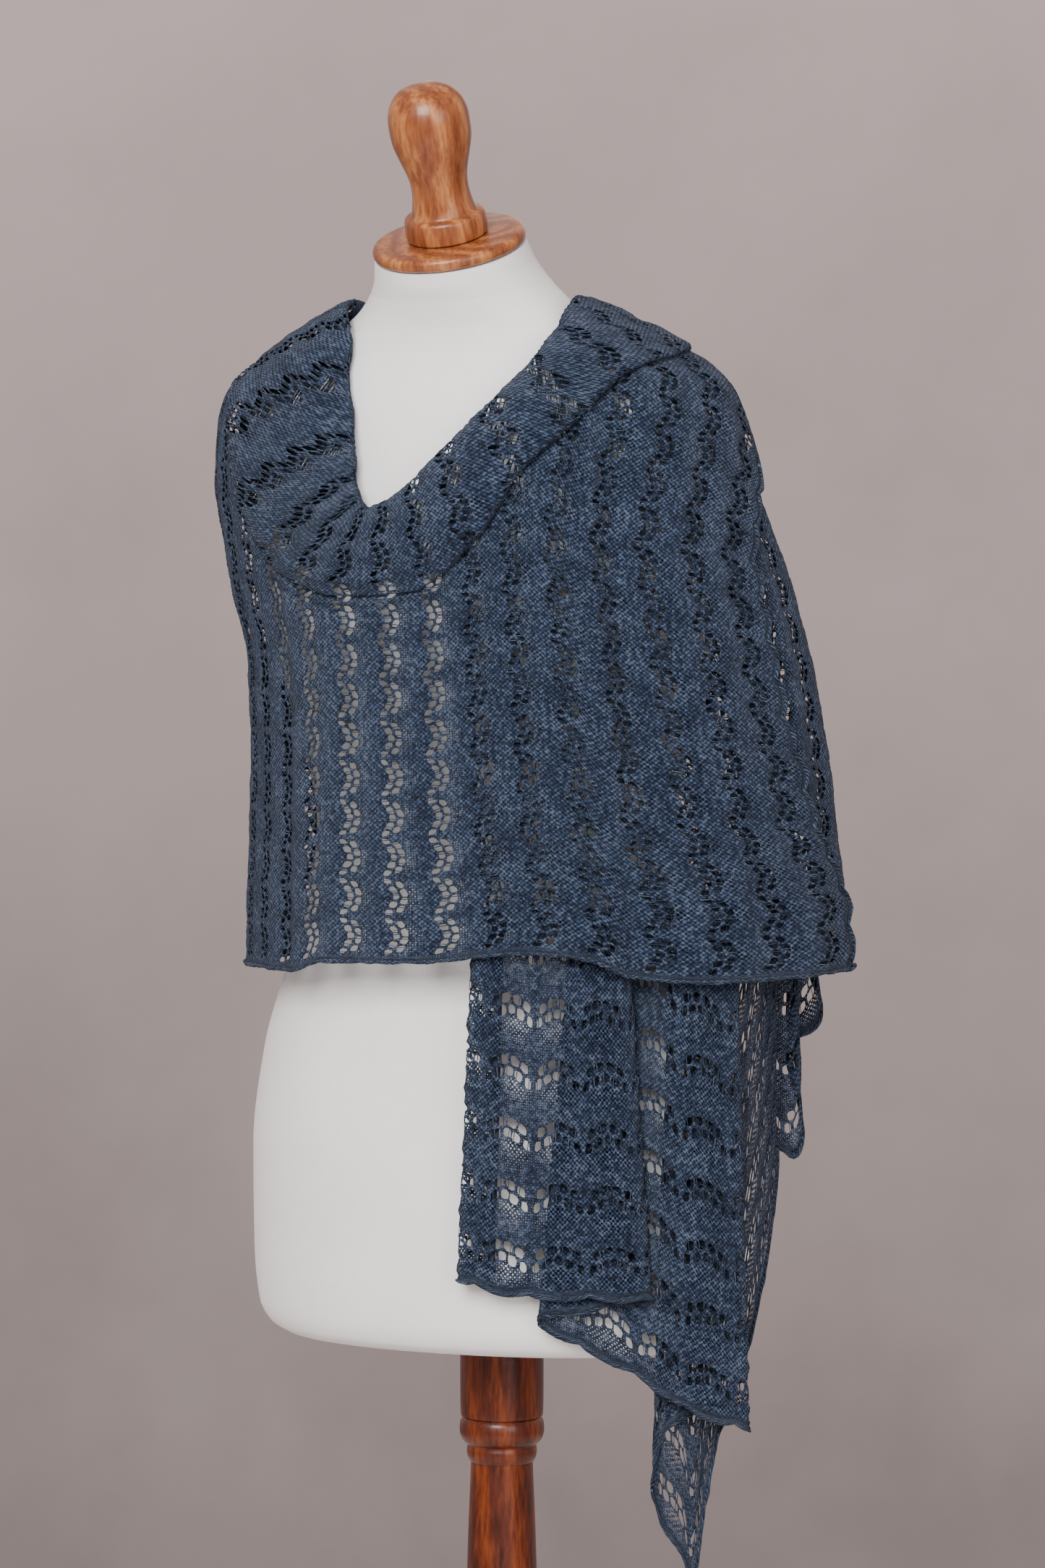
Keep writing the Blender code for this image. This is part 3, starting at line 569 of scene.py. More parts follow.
@dataclass
class Cape:
    """The smooth shape that the wrapped cloth follows."""

    crease_share: float = 0.25
    shoulder_start: float = 0.02
    shoulder_length: float = 0.10
    shoulder_lift: float = 0.6
    tuck: float = 0.003
    form: PaddedForm = field(default_factory=PaddedForm)

    def __post_init__(self) -> None:
        """Number the rings by their distance down the left side."""
        table = np.array(CAPE)
        steps = np.hypot(np.diff(table[:, 2]), np.diff(table[:, 0]))
        down = np.concatenate([[0.0], np.cumsum(steps)])
        self.rings = Curve("down z right left front back middle", np.column_stack([down, table]))
        self.down_of_height = Curve("z down", np.column_stack([table[:, 0], down]))
        self.middle_line = self.fold_middle()

    def fold_middle(self) -> Curve:
        """The line halfway between the neck fold's ridge and its outer leg's end.

        Returns:
            Its height, by angle.
        """
        rows = []
        for x, y, z, angle, height, _ in NECKLINE.values:
            middle = self.rings(self.down_of_height(z))[-1]
            ridge_angle = math.degrees(math.atan2(x, middle - y))
            if abs(ridge_angle - angle) > 180.0:
                ridge_angle += math.copysign(360.0, angle)
            rows.append(((ridge_angle + angle) / 2, (z + height) / 2))
        return Curve("angle z", rows)

    def folds(self, angle: Array, down: Array) -> Array:
        """How far the folds and creases stand out.

        Args:
            angle: Angles round the figure.
            down: Distances down the cape.

        Returns:
            A distance for each place.
        """
        share = np.clip(down / self.rings.at[-1], 0.0, 1.0)
        out = np.zeros_like(share)
        for shoulder, hem, width, high, low in FOLDS + CREASES:
            turn = one_turn(angle - shoulder - (hem - shoulder) * share)
            out += (high + (low - high) * share) * np.exp(-((turn / width) ** 2))
        return out * np.minimum(1.0, share / self.crease_share)

    def place(self, angle: Array, down: Array, out: Array | float = 0.0) -> Array:
        """Places on the wrapped cloth.

        Args:
            angle: Angles round the figure.
            down: Distances down the cape.
            out: How far out of the cape's rings the cloth lies.

        Returns:
            The places, with x, y and z on the last axis.
        """
        z, right, left, front, back, middle = split(self.rings(down))
        sine, cosine = direction(angle)
        out = out + self.folds(angle, down)
        half = np.where(sine > 0, left, right) + out
        depth = np.where(cosine > 0, front, back) + out
        steep = np.clip((down - self.shoulder_start) / self.shoulder_length, 0.0, 1.0)
        height = z + out * (1.0 - steep) * self.shoulder_lift
        return np.stack([half * sine, middle - depth * cosine, height], -1)

    def top(self, angle: Array) -> Array:
        """Height of a hidden panel's upper edge, tucked up behind the neckline's fold."""
        nearby = [self.middle_line(one_turn(angle + step)) for step in (-8.0, -4.0, 0.0, 4.0, 8.0)]
        return sum(nearby) / len(nearby) - self.tuck

    @staticmethod
    def station(angle: Array) -> Array:
        """The neckline's station at an angle round the figure."""
        return STATION_AT(one_turn(angle))

    def crease_height(self, angle: Array) -> Array:
        """Height of the crease where the neckline's fold begins."""
        return NECKLINE(self.station(angle))[..., 4]


@dataclass(frozen=True)
class Passing:
    """A value that passes softly from one to another between two angles."""

    before: float = 0.0
    after: float = 0.0
    start: float = 0.0
    end: float = 1.0

    def __call__(self, angle: Array) -> Array:
        """The value at each angle."""
        return self.before + (self.after - self.before) * smooth_step(angle, self.start, self.end)


# How far each layer of the wrapped cloth lies outside the cape's rings
TOP_LAYER = Passing(0.0, 0.005, 15.0, 75.0)
UNDER_LAYER = Passing(-0.0046, 0.0, 50.0, 95.0)
PLAIN_LAYER = Passing()

# How far the first layer's lower edge stays above the front wrap's hem, and where it does
HIDDEN_BY = Passing(0.020, 0.004, 40.0, 60.0)
HIDDEN_SHARE = Passing(1.0, 0.0, 85.0, 110.0)


def hem_height(angle: Array) -> Array:
    """Height of the wrapped cloth's lower edge."""
    return HEM_LINE(one_turn(angle))


def under_hem(angle: Array) -> Array:
    """Height of the first layer's lower edge, which the front wrap's hem hides."""
    return hem_height(angle) + HIDDEN_BY(angle) * HIDDEN_SHARE(angle)


@dataclass(frozen=True)
class LaceTile:
    """One repeat of the lace, as a flat mesh between 0 and 1 across and along the cloth.

    The threads are single yarns that cross an eyelet, given by their two ends.
    """

    points: Array
    faces: Array
    threads: Array


@dataclass(frozen=True)
class Ground:
    """How open the plain knitting is on one side of the arches.

    It is least far from the arches and opens by the most next to them, over a reach in millimetres.
    """

    least: float
    most: float
    reach: float
    fall: float = 1.4


BEYOND_ARCHES = Ground(0.0, 0.46, 6.5)
SHORT_OF_ARCHES = Ground(0.07, 0.42, 14.0)


@dataclass
class LaceChart:
    """The chart of the feather-and-fan repeat, in millimetres on the flat cloth.

    Two staggered rows of large eyelets follow an arch that sags to a cusp between two fans, with a fine
    open ground on one side of them that closes up again before the next arch.
    """

    fan: float = 28.0
    band: float = 36.0
    rise: float = 8.0
    bend: float = 1.35
    start: float = 6.5
    row_heights: tuple[float, float] = (6.8, 6.6)
    row_places: tuple[tuple[float, ...], ...] = ((-0.80, -0.41, 0.0, 0.41, 0.80), (-0.60, -0.21, 0.21, 0.60))
    corners: tuple[tuple[float, float], ...] = ((1.0, 0.23), (1.0, 0.77), (0.46, 0.96), (-0.46, 0.96),
                                                (-1.0, 0.77), (-1.0, 0.23), (-0.46, 0.04), (0.46, 0.04))
    half_width: float = 0.180
    outer_from: float = 0.7
    outer_width: float = 0.72
    sizes: tuple[float, float] = (0.86, 1.02)
    side_reach: tuple[float, float] = (0.80, 1.06)
    level_reach: tuple[float, float] = (0.82, 1.02)
    drift: float = 0.02
    spread: float = 1.8
    crossed_from: float = 3.4
    crossed_share: float = 0.7
    crossing_reach: float = 1.05
    edge_across: int = 7
    edge_along: int = 9
    jitter: float = 0.4
    clearance: float = 1.1
    eyelet_reach: float = 2.6
    kinds: int = 10
    plain_kind: int = 99
    margin: float = 0.6
    slack_power: float = 0.8
    arch_openness: float = 0.10
    border_openness: float = 0.08

    def arch(self, bow: Array | float) -> Array:
        """How far the first row's near side has risen at a share of the half fan from its middle."""
        return self.start + self.rise * (1.0 - np.abs(bow) ** self.bend)

    def spot(self, bow: float, height: float) -> Array:
        """A place on the flat repeat.

        Args:
            bow: The share of the half fan from its middle.
            height: The height above the arch.

        Returns:
            The place across and along the repeat.
        """
        share = height / sum(self.row_heights)
        x = self.fan / 2 * (1 + bow) + self.spread * math.sin(math.pi * bow) * (share - 0.5)
        return np.array([x, self.arch(bow) + height])

    def eyelet(self, random: np.random.Generator, place: float, below: float, height: float) -> Array:
        """The outline of one eyelet, with eight uneven corners.

        Args:
            random: The source of its unevenness.
            place: Its middle, as a share of the half fan.
            below: How far above the arch it starts.
            height: How tall its row is.

        Returns:
            The corners.
        """
        width = 1.0 if abs(place) < self.outer_from else self.outer_width
        size = random.uniform(*self.sizes, 2) * (width, 1.0)
        middle = place + random.uniform(-self.drift, self.drift)
        outline = []
        for side, level in self.corners:
            bow = middle + side * self.half_width * size[0] * random.uniform(*self.side_reach)
            share = 0.5 + (level - 0.5) * size[1] * random.uniform(*self.level_reach)
            outline.append(self.spot(bow, below + share * height))
        return np.array(outline)

    def eyelets(self, random: np.random.Generator) -> list[Array]:
        """The outlines of one repeat's eyelets, row by row.

        Args:
            random: The source of their unevenness.

        Returns:
            The outlines.
        """
        starts = (0.0, self.row_heights[0])
        rows = zip(self.row_places, starts, self.row_heights)
        return [self.eyelet(random, place, below, height)
                for places, below, height in rows for place in places]

    def crossing(self, random: np.random.Generator, outlines: list[Array]) -> Array:
        """The single yarns that cross some of the wider eyelets.

        Args:
            random: The choice of eyelets and corners.
            outlines: The eyelets' outlines.

        Returns:
            Two ends for each yarn.
        """
        ends = []
        for outline in outlines:
            if np.ptp(outline[:, 0]) > self.crossed_from and random.random() < self.crossed_share:
                first = int(random.integers(2, 4))
                middle = outline.mean(axis=0)
                corners = outline[[9 - first, first]]
                ends.append(middle + (corners - middle) * self.crossing_reach)
        return np.array(ends).reshape(-1, 2, 2)

    def border(self) -> Array:
        """Points round the repeat's edge.

        Returns:
            The points, the same on opposite sides.
        """
        across = np.linspace(0.0, self.fan, self.edge_across + 1)
        along = np.linspace(0.0, self.band, self.edge_along + 1)[1:-1]
        level = [np.column_stack([across, np.full_like(across, side)]) for side in (0.0, self.band)]
        upright = [np.column_stack([np.full_like(along, side), along]) for side in (0.0, self.fan)]
        return np.concatenate(level + upright)

    def ground(self, random: np.random.Generator, outlines: list[Array]) -> Array:
        """Points of the plain knitting inside the repeat.

        Args:
            random: The source of its unevenness.
            outlines: The eyelets' outlines, which the points keep clear of.

        Returns:
            The points.
        """
        found = []
        for row in range(1, self.edge_along):
            for column in range(1, self.edge_across):
                x = (column + 0.5 * (row % 2) - 0.25) * self.fan / self.edge_across
                y = row * self.band / self.edge_along
                spot = np.array([x, y]) + random.uniform(-self.jitter, self.jitter, 2)
                near = any(np.min(np.linalg.norm(o - spot, axis=1)) <= self.clearance for o in outlines)
                inside = any(np.linalg.norm(o.mean(axis=0) - spot) < self.eyelet_reach for o in outlines)
                if not near and not inside:
                    found.append(spot)
        return np.array(found)

    def tile(self, seed: int, pierced: bool = True) -> LaceTile:
        """Mesh one repeat.

        Args:
            seed: Which of the slightly uneven kinds to make.
            pierced: Whether the repeat has its eyelets.

        Returns:
            The flat tile.
        """
        random = np.random.default_rng(seed)
        outlines = self.eyelets(random) if pierced else []
        points = [self.border(), self.ground(random, outlines)]
        first = sum(len(p) for p in points)
        loops = []
        for outline in outlines:
            loops.append(list(range(first, first + len(outline))))
            points.append(outline)
            first += len(outline)
        flat = [Vector(p) for p in np.concatenate(points)]
        made = delaunay_2d_cdt(flat, [], loops, 0, 1e-6, True)
        size = np.array([self.fan, self.band])
        corners = np.array([tuple(v) for v in made[0]]) / size
        faces = np.array([face for face, inside in zip(made[2], made[5]) if not inside])
        return LaceTile(corners, faces, self.crossing(random, outlines) / size)

    def tiles(self) -> list[LaceTile]:
        """The slightly uneven kinds of the pierced repeat."""
        return [self.tile(seed) for seed in range(self.kinds)]

    def openness(self, flat: Array, beyond: bool) -> Array:
        """How open the plain knitting is.

        Args:
            flat: Places across in fans and along in bands.
            beyond: Whether the open ground lies beyond the arches or short of them.

        Returns:
            A share for each place, from 0, closed, to about a half.
        """
        across, along = flat[:, 0], flat[:, 1]
        bow = 2 * (across - np.floor(across)) - 1
        height = (along - np.floor(along)) * self.band - self.arch(bow)
        rows = sum(self.row_heights)
        away = (height - rows) % self.band if beyond else (-height) % self.band
        kind = BEYOND_ARCHES if beyond else SHORT_OF_ARCHES
        slack = (1.0 - bow * bow) ** self.slack_power
        ground = kind.least + kind.most * slack * np.exp(-((away / kind.reach) ** kind.fall))
        between = (height > -self.margin) & (height < rows + self.margin)
        inside = (across > 0) & (along > 0)
        return np.where(inside, np.where(between, self.arch_openness, ground), self.border_openness)


class Measured(Enum):
    """Which way a stretch is measured in real millimetres; the other way it shares out whole repeats."""

    ACROSS = 0
    ALONG = 1


@dataclass
class Edge:
    """How one edge of a stretch ends."""

    border: float = 0.0
    roll: float = 0.0
    scallop: float = 0.0


@dataclass
class Stretch:
    """One stretch of the lace laid over a smooth grid of places.

    The grid's rows run across the cloth and its columns along it, in the direction in which the fans
    open. Across, the lace starts at the low edge, and along, at the start edge.
    """

    name: str
    grid: Array
    nodes: tuple[str, ...]
    fan: float
    band: float
    held: str = "draped"
    measured: Measured = Measured.ACROSS
    outward: float = 1.0
    reference: float = 0.3
    low: Edge = field(default_factory=Edge)
    high: Edge = field(default_factory=Edge)
    start: Edge = field(default_factory=Edge)
    end: Edge = field(default_factory=Edge)
    thickness: float = 0.0006
    relief: float = 0.0009
    unevenness: float = 0.0003
    yarn: float = 0.00030
    beyond: bool = True
    seed: int = 1
    samples: int = 600
    spare: float = 0.02
    start_fade: float = 0.6
    end_fade: float = 0.5
    roll_steps: int = 14
    roll_lumps: float = 0.35
    roll_drift: float = 0.5
    roll_lift: float = 0.2
    roll_sway: float = 0.4
    slip: float = 0.001
    merge_share: int = 20000

    def __post_init__(self) -> None:
        """Measure the grid."""
        self.normals = grid_normals(self.grid) * self.outward
        self.lengths_across = self.lengths_down(self.grid)
        self.lengths_along = self.lengths_down(self.grid.transpose(1, 0, 2)).T
        if self.measured is Measured.ACROSS:
            row = int(self.reference * (self.grid.shape[0] - 1))
            self.shared, self.lengths = self.lengths_along[row], self.lengths_across
            self.bands = self.shared_out(self.band, self.start, self.end)
            self.fans = math.ceil(self.lengths[-1].max() / self.fan)
        else:
            column = int(self.reference * (self.grid.shape[1] - 1))
            self.shared, self.lengths = self.lengths_across[:, column], self.lengths_along.T
            self.fans = self.shared_out(self.fan, self.low, self.high)
            self.bands = math.ceil(self.lengths[-1].max() / self.band)
        self.reach = float(self.lengths[-1].max()) + self.spare
        self.inverse = self.invert()

    @staticmethod
    def lengths_down(grid: Array) -> Array:
        """Lengths from the first row down each column of a grid of places."""
        steps = np.linalg.norm(np.diff(grid, axis=0), axis=2)
        return np.concatenate([np.zeros((1, grid.shape[1])), np.cumsum(steps, axis=0)])

    def shared_out(self, pitch: float, first: Edge, last: Edge) -> int:
        """How many whole repeats fit between two borders."""
        return max(1, round((self.shared[-1] - first.border - last.border) / pitch))

    def invert(self) -> Array:
        """Find where each line of the measured way reaches a distance.

        Returns:
            Row numbers at equal distances, a column for each line.
        """
        at = np.linspace(0.0, self.reach, self.samples)
        rows = np.arange(self.lengths.shape[0], dtype=float)
        table = []
        for length in self.lengths.T:
            pace = 1.0 / max(length[-1] - length[-2], 1e-6)
            inside = np.interp(at, length, rows)
            table.append(np.where(at > length[-1], rows[-1] + (at - length[-1]) * pace, inside))
        return np.stack(table, axis=1)

    @staticmethod
    def cusps(across: Array) -> Array:
        """1 between two fans and 0 in the middle of one."""
        return 1.0 - np.abs(np.sin(np.pi * across))

    @staticmethod
    def run(number: Array, count: int, total: float, first: Edge, last: Edge) -> Array:
        """Distance along a way that shares whole repeats between its two borders.

        Args:
            number: Places, counted in repeats.
            count: How many repeats there are.
            total: The whole way's length.
            first: The edge it starts at.
            last: The edge it ends at.

        Returns:
            A distance for each place.
        """
        pitch = (total - first.border - last.border) / count
        inner = first.border + number * pitch
        before = first.border * (1.0 + number)
        after = total - last.border * (count + 1.0 - number)
        return np.where(number < 0, before, np.where(number > count, after, inner))

    @staticmethod
    def from_edge(edge: Edge, number: Array, pitch: float) -> Array:
        """Distance from an edge of places counted in repeats past its border."""
        return edge.border + number * np.where(number < 0, edge.border, pitch)

    def spots(self, across: Array, along: Array) -> tuple[Array, Array]:
        """Find places on the grid.

        Args:
            across: Places in fans across.
            along: Places in bands along.

        Returns:
            Their rows and their columns.
        """
        total, cusps = self.shared[-1], self.cusps(across)
        if self.measured is Measured.ACROSS:
            shared = self.run(along, self.bands, total, self.start, self.end)
            fade = np.exp(-(total - shared) / (self.end_fade * self.band))
            shared = shared - self.end.scallop * cusps * fade
            distance = self.from_edge(self.low, across, self.fan)
        else:
            shared = self.run(across, self.fans, total, self.low, self.high)
            distance = self.from_edge(self.start, along, self.band)
            fade = np.exp(-distance / (self.start_fade * self.band))
            distance = distance + self.start.scallop * cusps * fade
        line = np.interp(shared, self.shared, np.arange(len(self.shared), dtype=float))
        row = self.bilinear(self.inverse, distance / self.reach * (self.samples - 1), line)
        return (row, line) if self.measured is Measured.ACROSS else (line, row)

    @staticmethod
    def bilinear(table: Array, row: Array, column: Array) -> Array:
        """Read a table between its rows and columns, held at its edges.

        Args:
            table: Numbers, or vectors on a third axis.
            row: Where to read down the rows.
            column: Where to read along the columns.

        Returns:
            A number or a vector for each place.
        """
        row = np.clip(row, 0.0, table.shape[0] - 1.0)
        column = np.clip(column, 0.0, table.shape[1] - 1.0)
        low = np.minimum(row.astype(int), table.shape[0] - 2)
        left = np.minimum(column.astype(int), table.shape[1] - 2)
        v, u = row - low, column - left
        if table.ndim == 3:
            v, u = v[..., None], u[..., None]
        return ((table[low, left] * (1 - v) + table[low + 1, left] * v) * (1 - u)
                + (table[low, left + 1] * (1 - v) + table[low + 1, left + 1] * v) * u)

    def on_surface(self, flat: Array) -> tuple[Array, Array, Array]:
        """Lay flat places on the smooth cloth.

        Args:
            flat: Places across in fans and along in bands.

        Returns:
            Places, normals, and whether each is still on the grid.
        """
        row, column = self.spots(flat[:, 0], flat[:, 1])
        last_row, last_column = (count - 1 + self.slip for count in self.grid.shape[:2])
        kept = (row < last_row) & (column < last_column)
        return self.bilinear(self.grid, row, column), unit(self.bilinear(self.normals, row, column)), kept

    @staticmethod
    def span(count: int, first: Edge, last: Edge) -> tuple[int, int]:
        """Where the repeats start and end, with each border counted as one more."""
        return -int(first.border > 0), count + int(last.border > 0)

    def lay_tiles(self, tiles: list[LaceTile], plain: LaceTile) -> tuple[Array, Array, Array]:
        """Cover the stretch with repeats.

        Args:
            tiles: The kinds of the pierced repeat.
            plain: The repeat without eyelets, for the borders.

        Returns:
            Points in fans across and bands along, triangles, and the ends of single yarns.
        """
        random = np.random.default_rng(self.seed)
        points, faces, threads, count = [], [], [], 0
        for fan in range(*self.span(self.fans, self.low, self.high)):
            for band in range(*self.span(self.bands, self.start, self.end)):
                choice = tiles[int(random.integers(len(tiles)))]
                tile = choice if 0 <= fan < self.fans and 0 <= band < self.bands else plain
                points.append(tile.points + (fan, band))
                faces.append(tile.faces + count)
                threads.append(tile.threads + (fan, band))
                count += len(tile.points)
        points, faces = np.concatenate(points), np.concatenate(faces)
        keys = np.round(points * self.merge_share).astype(np.int64)
        _, kept, match = np.unique(keys, axis=0, return_index=True, return_inverse=True)
        return points[kept], match.reshape(-1)[faces], np.concatenate(threads)

    def ripple(self, flat: Array) -> Array:
        """The relief of the knitting, where fans swell a little and the eyelet arcs lie low.

        Args:
            flat: Places across in fans and along in bands.

        Returns:
            How far each place stands out.
        """
        across, along = flat[:, 0], flat[:, 1]
        swell = 0.5 * np.sin(np.pi * (across - np.floor(across)))
        swell += 0.5 * np.cos(2 * np.pi * (along - np.floor(along) - 0.05))
        slow = np.sin(across * 1.7 + along * 0.9 + self.seed) * np.sin(along * 1.3 - across * 0.6)
        return self.relief * (swell - 0.5) + 0.6 * self.relief * slow

    def build(self, chart: LaceChart) -> bpy.types.Object:
        """Make the stretch as one thin shell with its rolled edges.

        Args:
            chart: The lace's chart.

        Returns:
            The piece.
        """
        plain = chart.tile(chart.plain_kind, pierced=False)
        flat, faces, threads = self.lay_tiles(chart.tiles(), plain)
        place, normal, kept = self.on_surface(flat)
        faces = faces[kept[faces].all(axis=1)]
        random = np.random.default_rng(self.seed)
        uneven = random.uniform(-self.unevenness, self.unevenness, len(flat))
        place = place + normal * (self.ripple(flat) + uneven)[:, None]
        used, faces = np.unique(faces, return_inverse=True)
        faces = faces.reshape(-1, 3)
        place, normal, flat = place[used], normal[used], flat[used]
        corner = place[faces]
        turned = np.cross(corner[:, 1] - corner[:, 0], corner[:, 2] - corner[:, 0])
        if np.sum(turned * normal[faces[:, 0]]) < 0:
            faces = faces[:, ::-1]
        mesh = ClothMesh()
        mesh.add_shell(place, normal, faces, self.thickness, flat)
        self.add_threads(mesh, threads)
        for edge, line in self.rolled_edges():
            self.add_roll(mesh, edge, line)
        piece = mesh.make(self.name, chart, self.beyond)
        sides = sum(len(face) - 2 for face in mesh.faces)
        log.info("%s: %d bands by %d fans, %d triangles", self.name, self.bands, self.fans, sides)
        return piece

    def add_threads(self, mesh: ClothMesh, threads: Array) -> None:
        """Add the single yarns that cross the wider eyelets.

        Args:
            mesh: The piece's mesh.
            threads: Two flat ends for each yarn.
        """
        low, normal, low_kept = self.on_surface(threads[:, 0])
        high, _, high_kept = self.on_surface(threads[:, 1])
        ripple = self.ripple(threads[:, 0])[:, None] * normal
        kept = low_kept & high_kept
        mesh.add_yarns((low + ripple)[kept], (high + ripple)[kept], normal[kept], self.yarn,
                       threads[:, 0][kept])

    def rolled_edges(self) -> list[tuple[Edge, Array]]:
        """Find the edges that roll.

        Returns:
            Each edge with its line of flat places.
        """
        low, high = self.span(self.fans, self.low, self.high)
        start, end = self.span(self.bands, self.start, self.end)
        bands = np.linspace(start, end, (end - start) * self.roll_steps + 1)
        fans = np.linspace(low, high, (high - low) * self.roll_steps + 1)
        lines = [(edge, np.column_stack([np.full_like(bands, side), bands]))
                 for edge, side in ((self.low, low), (self.high, high))]
        lines += [(edge, np.column_stack([fans, np.full_like(fans, side)]))
                  for edge, side in ((self.start, start), (self.end, end))]
        return [(edge, line) for edge, line in lines if edge.roll > 0]

    def add_roll(self, mesh: ClothMesh, edge: Edge, line: Array) -> None:
        """Add one rolled edge, a slightly lumpy tube that lies on the cloth's face.

        Args:
            mesh: The piece's mesh.
            edge: The edge.
            line: Its line of flat places.
        """
        place, normal, kept = self.on_surface(line)
        place, normal, flat = place[kept], normal[kept], line[kept]
        if len(place) < 4:
            return
        side = np.cross(unit(np.gradient(place, axis=0)), normal)
        random = np.random.default_rng(self.seed + len(place))
        lumps = np.convolve(random.uniform(-1, 1, len(place) + 2), np.ones(3) / 3, "valid")
        drift = np.convolve(random.uniform(-1, 1, len(place) + 10), np.ones(11) / 11, "valid")
        radius = edge.roll * (1.0 + self.roll_lumps * lumps + self.roll_drift * drift)
        sway = edge.roll * self.roll_sway * lumps
        centre = place + normal * (edge.roll * self.roll_lift) + side * sway[:, None]
        mesh.add_tube(centre, normal, side, radius, flat)


class ClothMesh:
    """Points, faces and cloth places gathered for one piece."""

    tube_sides = 8

    def __init__(self) -> None:
        """Start empty."""
        self.points: list[Array] = []
        self.faces: list[Sequence[int]] = []
        self.flat: list[Array] = []
        self.count = 0

    def add(self, points: Array, flat: Array) -> int:
        """Add points with their places in fans and bands.

        Args:
            points: The points.
            flat: Their places on the flat cloth.

        Returns:
            The first point's number.
        """
        first = self.count
        self.points.append(points)
        self.flat.append(flat)
        self.count += len(points)
        return first

    def add_shell(self, place: Array, normal: Array, faces: Array, thickness: float, flat: Array) -> None:
        """Add both sides of a thin sheet and the rims of all its holes and edges.

        Args:
            place: Points halfway through the sheet.
            normal: Their normals.
            faces: Triangles of point numbers.
            thickness: How thick the sheet is.
            flat: Places in fans and bands.
        """
        total = len(place)
        first = self.add(place + normal * thickness / 2, flat)
        self.add(place - normal * thickness / 2, flat)
        self.faces += (faces + first).tolist()
        self.faces += (faces[:, ::-1] + first + total).tolist()
        sides = np.concatenate([faces[:, [0, 1]], faces[:, [1, 2]], faces[:, [2, 0]]])
        ordered = np.sort(sides, axis=1)
        _, index, count = np.unique(ordered, axis=0, return_index=True, return_counts=True)
        start, end = (sides[index[count == 1]] + first).T
        self.faces += np.column_stack([end, start, start + total, end + total]).tolist()

    def add_yarns(self, low: Array, high: Array, up: Array, radius: float, flat: Array) -> None:
        """Add single yarns between pairs of places, each with three sides and closed ends.

        Args:
            low: Where each yarn starts.
            high: Where it ends.
            up: Unit vectors away from the cloth.
            radius: The yarns' radius.
            flat: Places in fans and bands.
        """
        side = np.cross(unit(high - low), up)
        corners = [up * math.cos(turn) + side * math.sin(turn) for turn in np.radians((0.0, 120.0, 240.0))]
        rows = [end + corner * radius for end in (low, high) for corner in corners]
        first = self.add(np.stack(rows, axis=1).reshape(-1, 3), np.repeat(flat, 6, axis=0))
        starts = first + 6 * np.arange(len(low))[:, None]
        for here, there in ((0, 1), (1, 2), (2, 0)):
            self.faces += (starts + (here, there, there + 3, here + 3)).tolist()
        self.faces += (starts + (2, 1, 0)).tolist() + (starts + (3, 4, 5)).tolist()

    def add_tube(self, centre: Array, up: Array, side: Array, radius: Array, flat: Array) -> None:
        """Add a closed tube along a line.

        Args:
            centre: The line's places.
            up: Unit vectors across the line.
            side: Unit vectors across the line and square to up.
            radius: The tube's radius at each place.
            flat: Places in fans and bands for the knitting's pattern.
        """
        sides = self.tube_sides
        sine, cosine = direction(360.0 * np.arange(sides) / sides)
        ring = up[:, None] * cosine[None, :, None] + side[:, None] * sine[None, :, None]
        points = centre[:, None] + ring * radius[:, None, None]
        around = np.stack([-0.10 + sine * 0.09, np.zeros(sides)], -1)
        first = self.add(points.reshape(-1, 3), (flat[:, None] + around[None]).reshape(-1, 2))
        last = first + (len(centre) - 1) * sides
        for low in range(first, last, sides):
            for step in range(sides):
                after = (step + 1) % sides
                self.faces.append((low + step, low + after, low + sides + after, low + sides + step))
        self.faces.append(range(first, first + sides)[::-1])
        self.faces.append(range(last, last + sides))

    def make(self, name: str, chart: LaceChart, beyond: bool) -> bpy.types.Object:
        """Make the object, which keeps its cloth places and how open its knitting is.

        Args:
            name: The piece's name.
            chart: The lace's chart.
            beyond: Whether the open ground lies beyond the arches or short of them.

        Returns:
            The piece.
        """
        points, flat = np.concatenate(self.points), np.concatenate(self.flat)
        knit = np.column_stack([flat, np.zeros(len(flat))])
        kept = {"knit": knit, "open": chart.openness(flat, beyond)}
        return smooth_object(name, points, self.faces, kept)


@dataclass(frozen=True)
class Noise:
    """A cloudy pattern: its scale, how many finer layers it has and how strong they are."""

    scale: float
    detail: float = 2.0
    roughness: float = 0.5


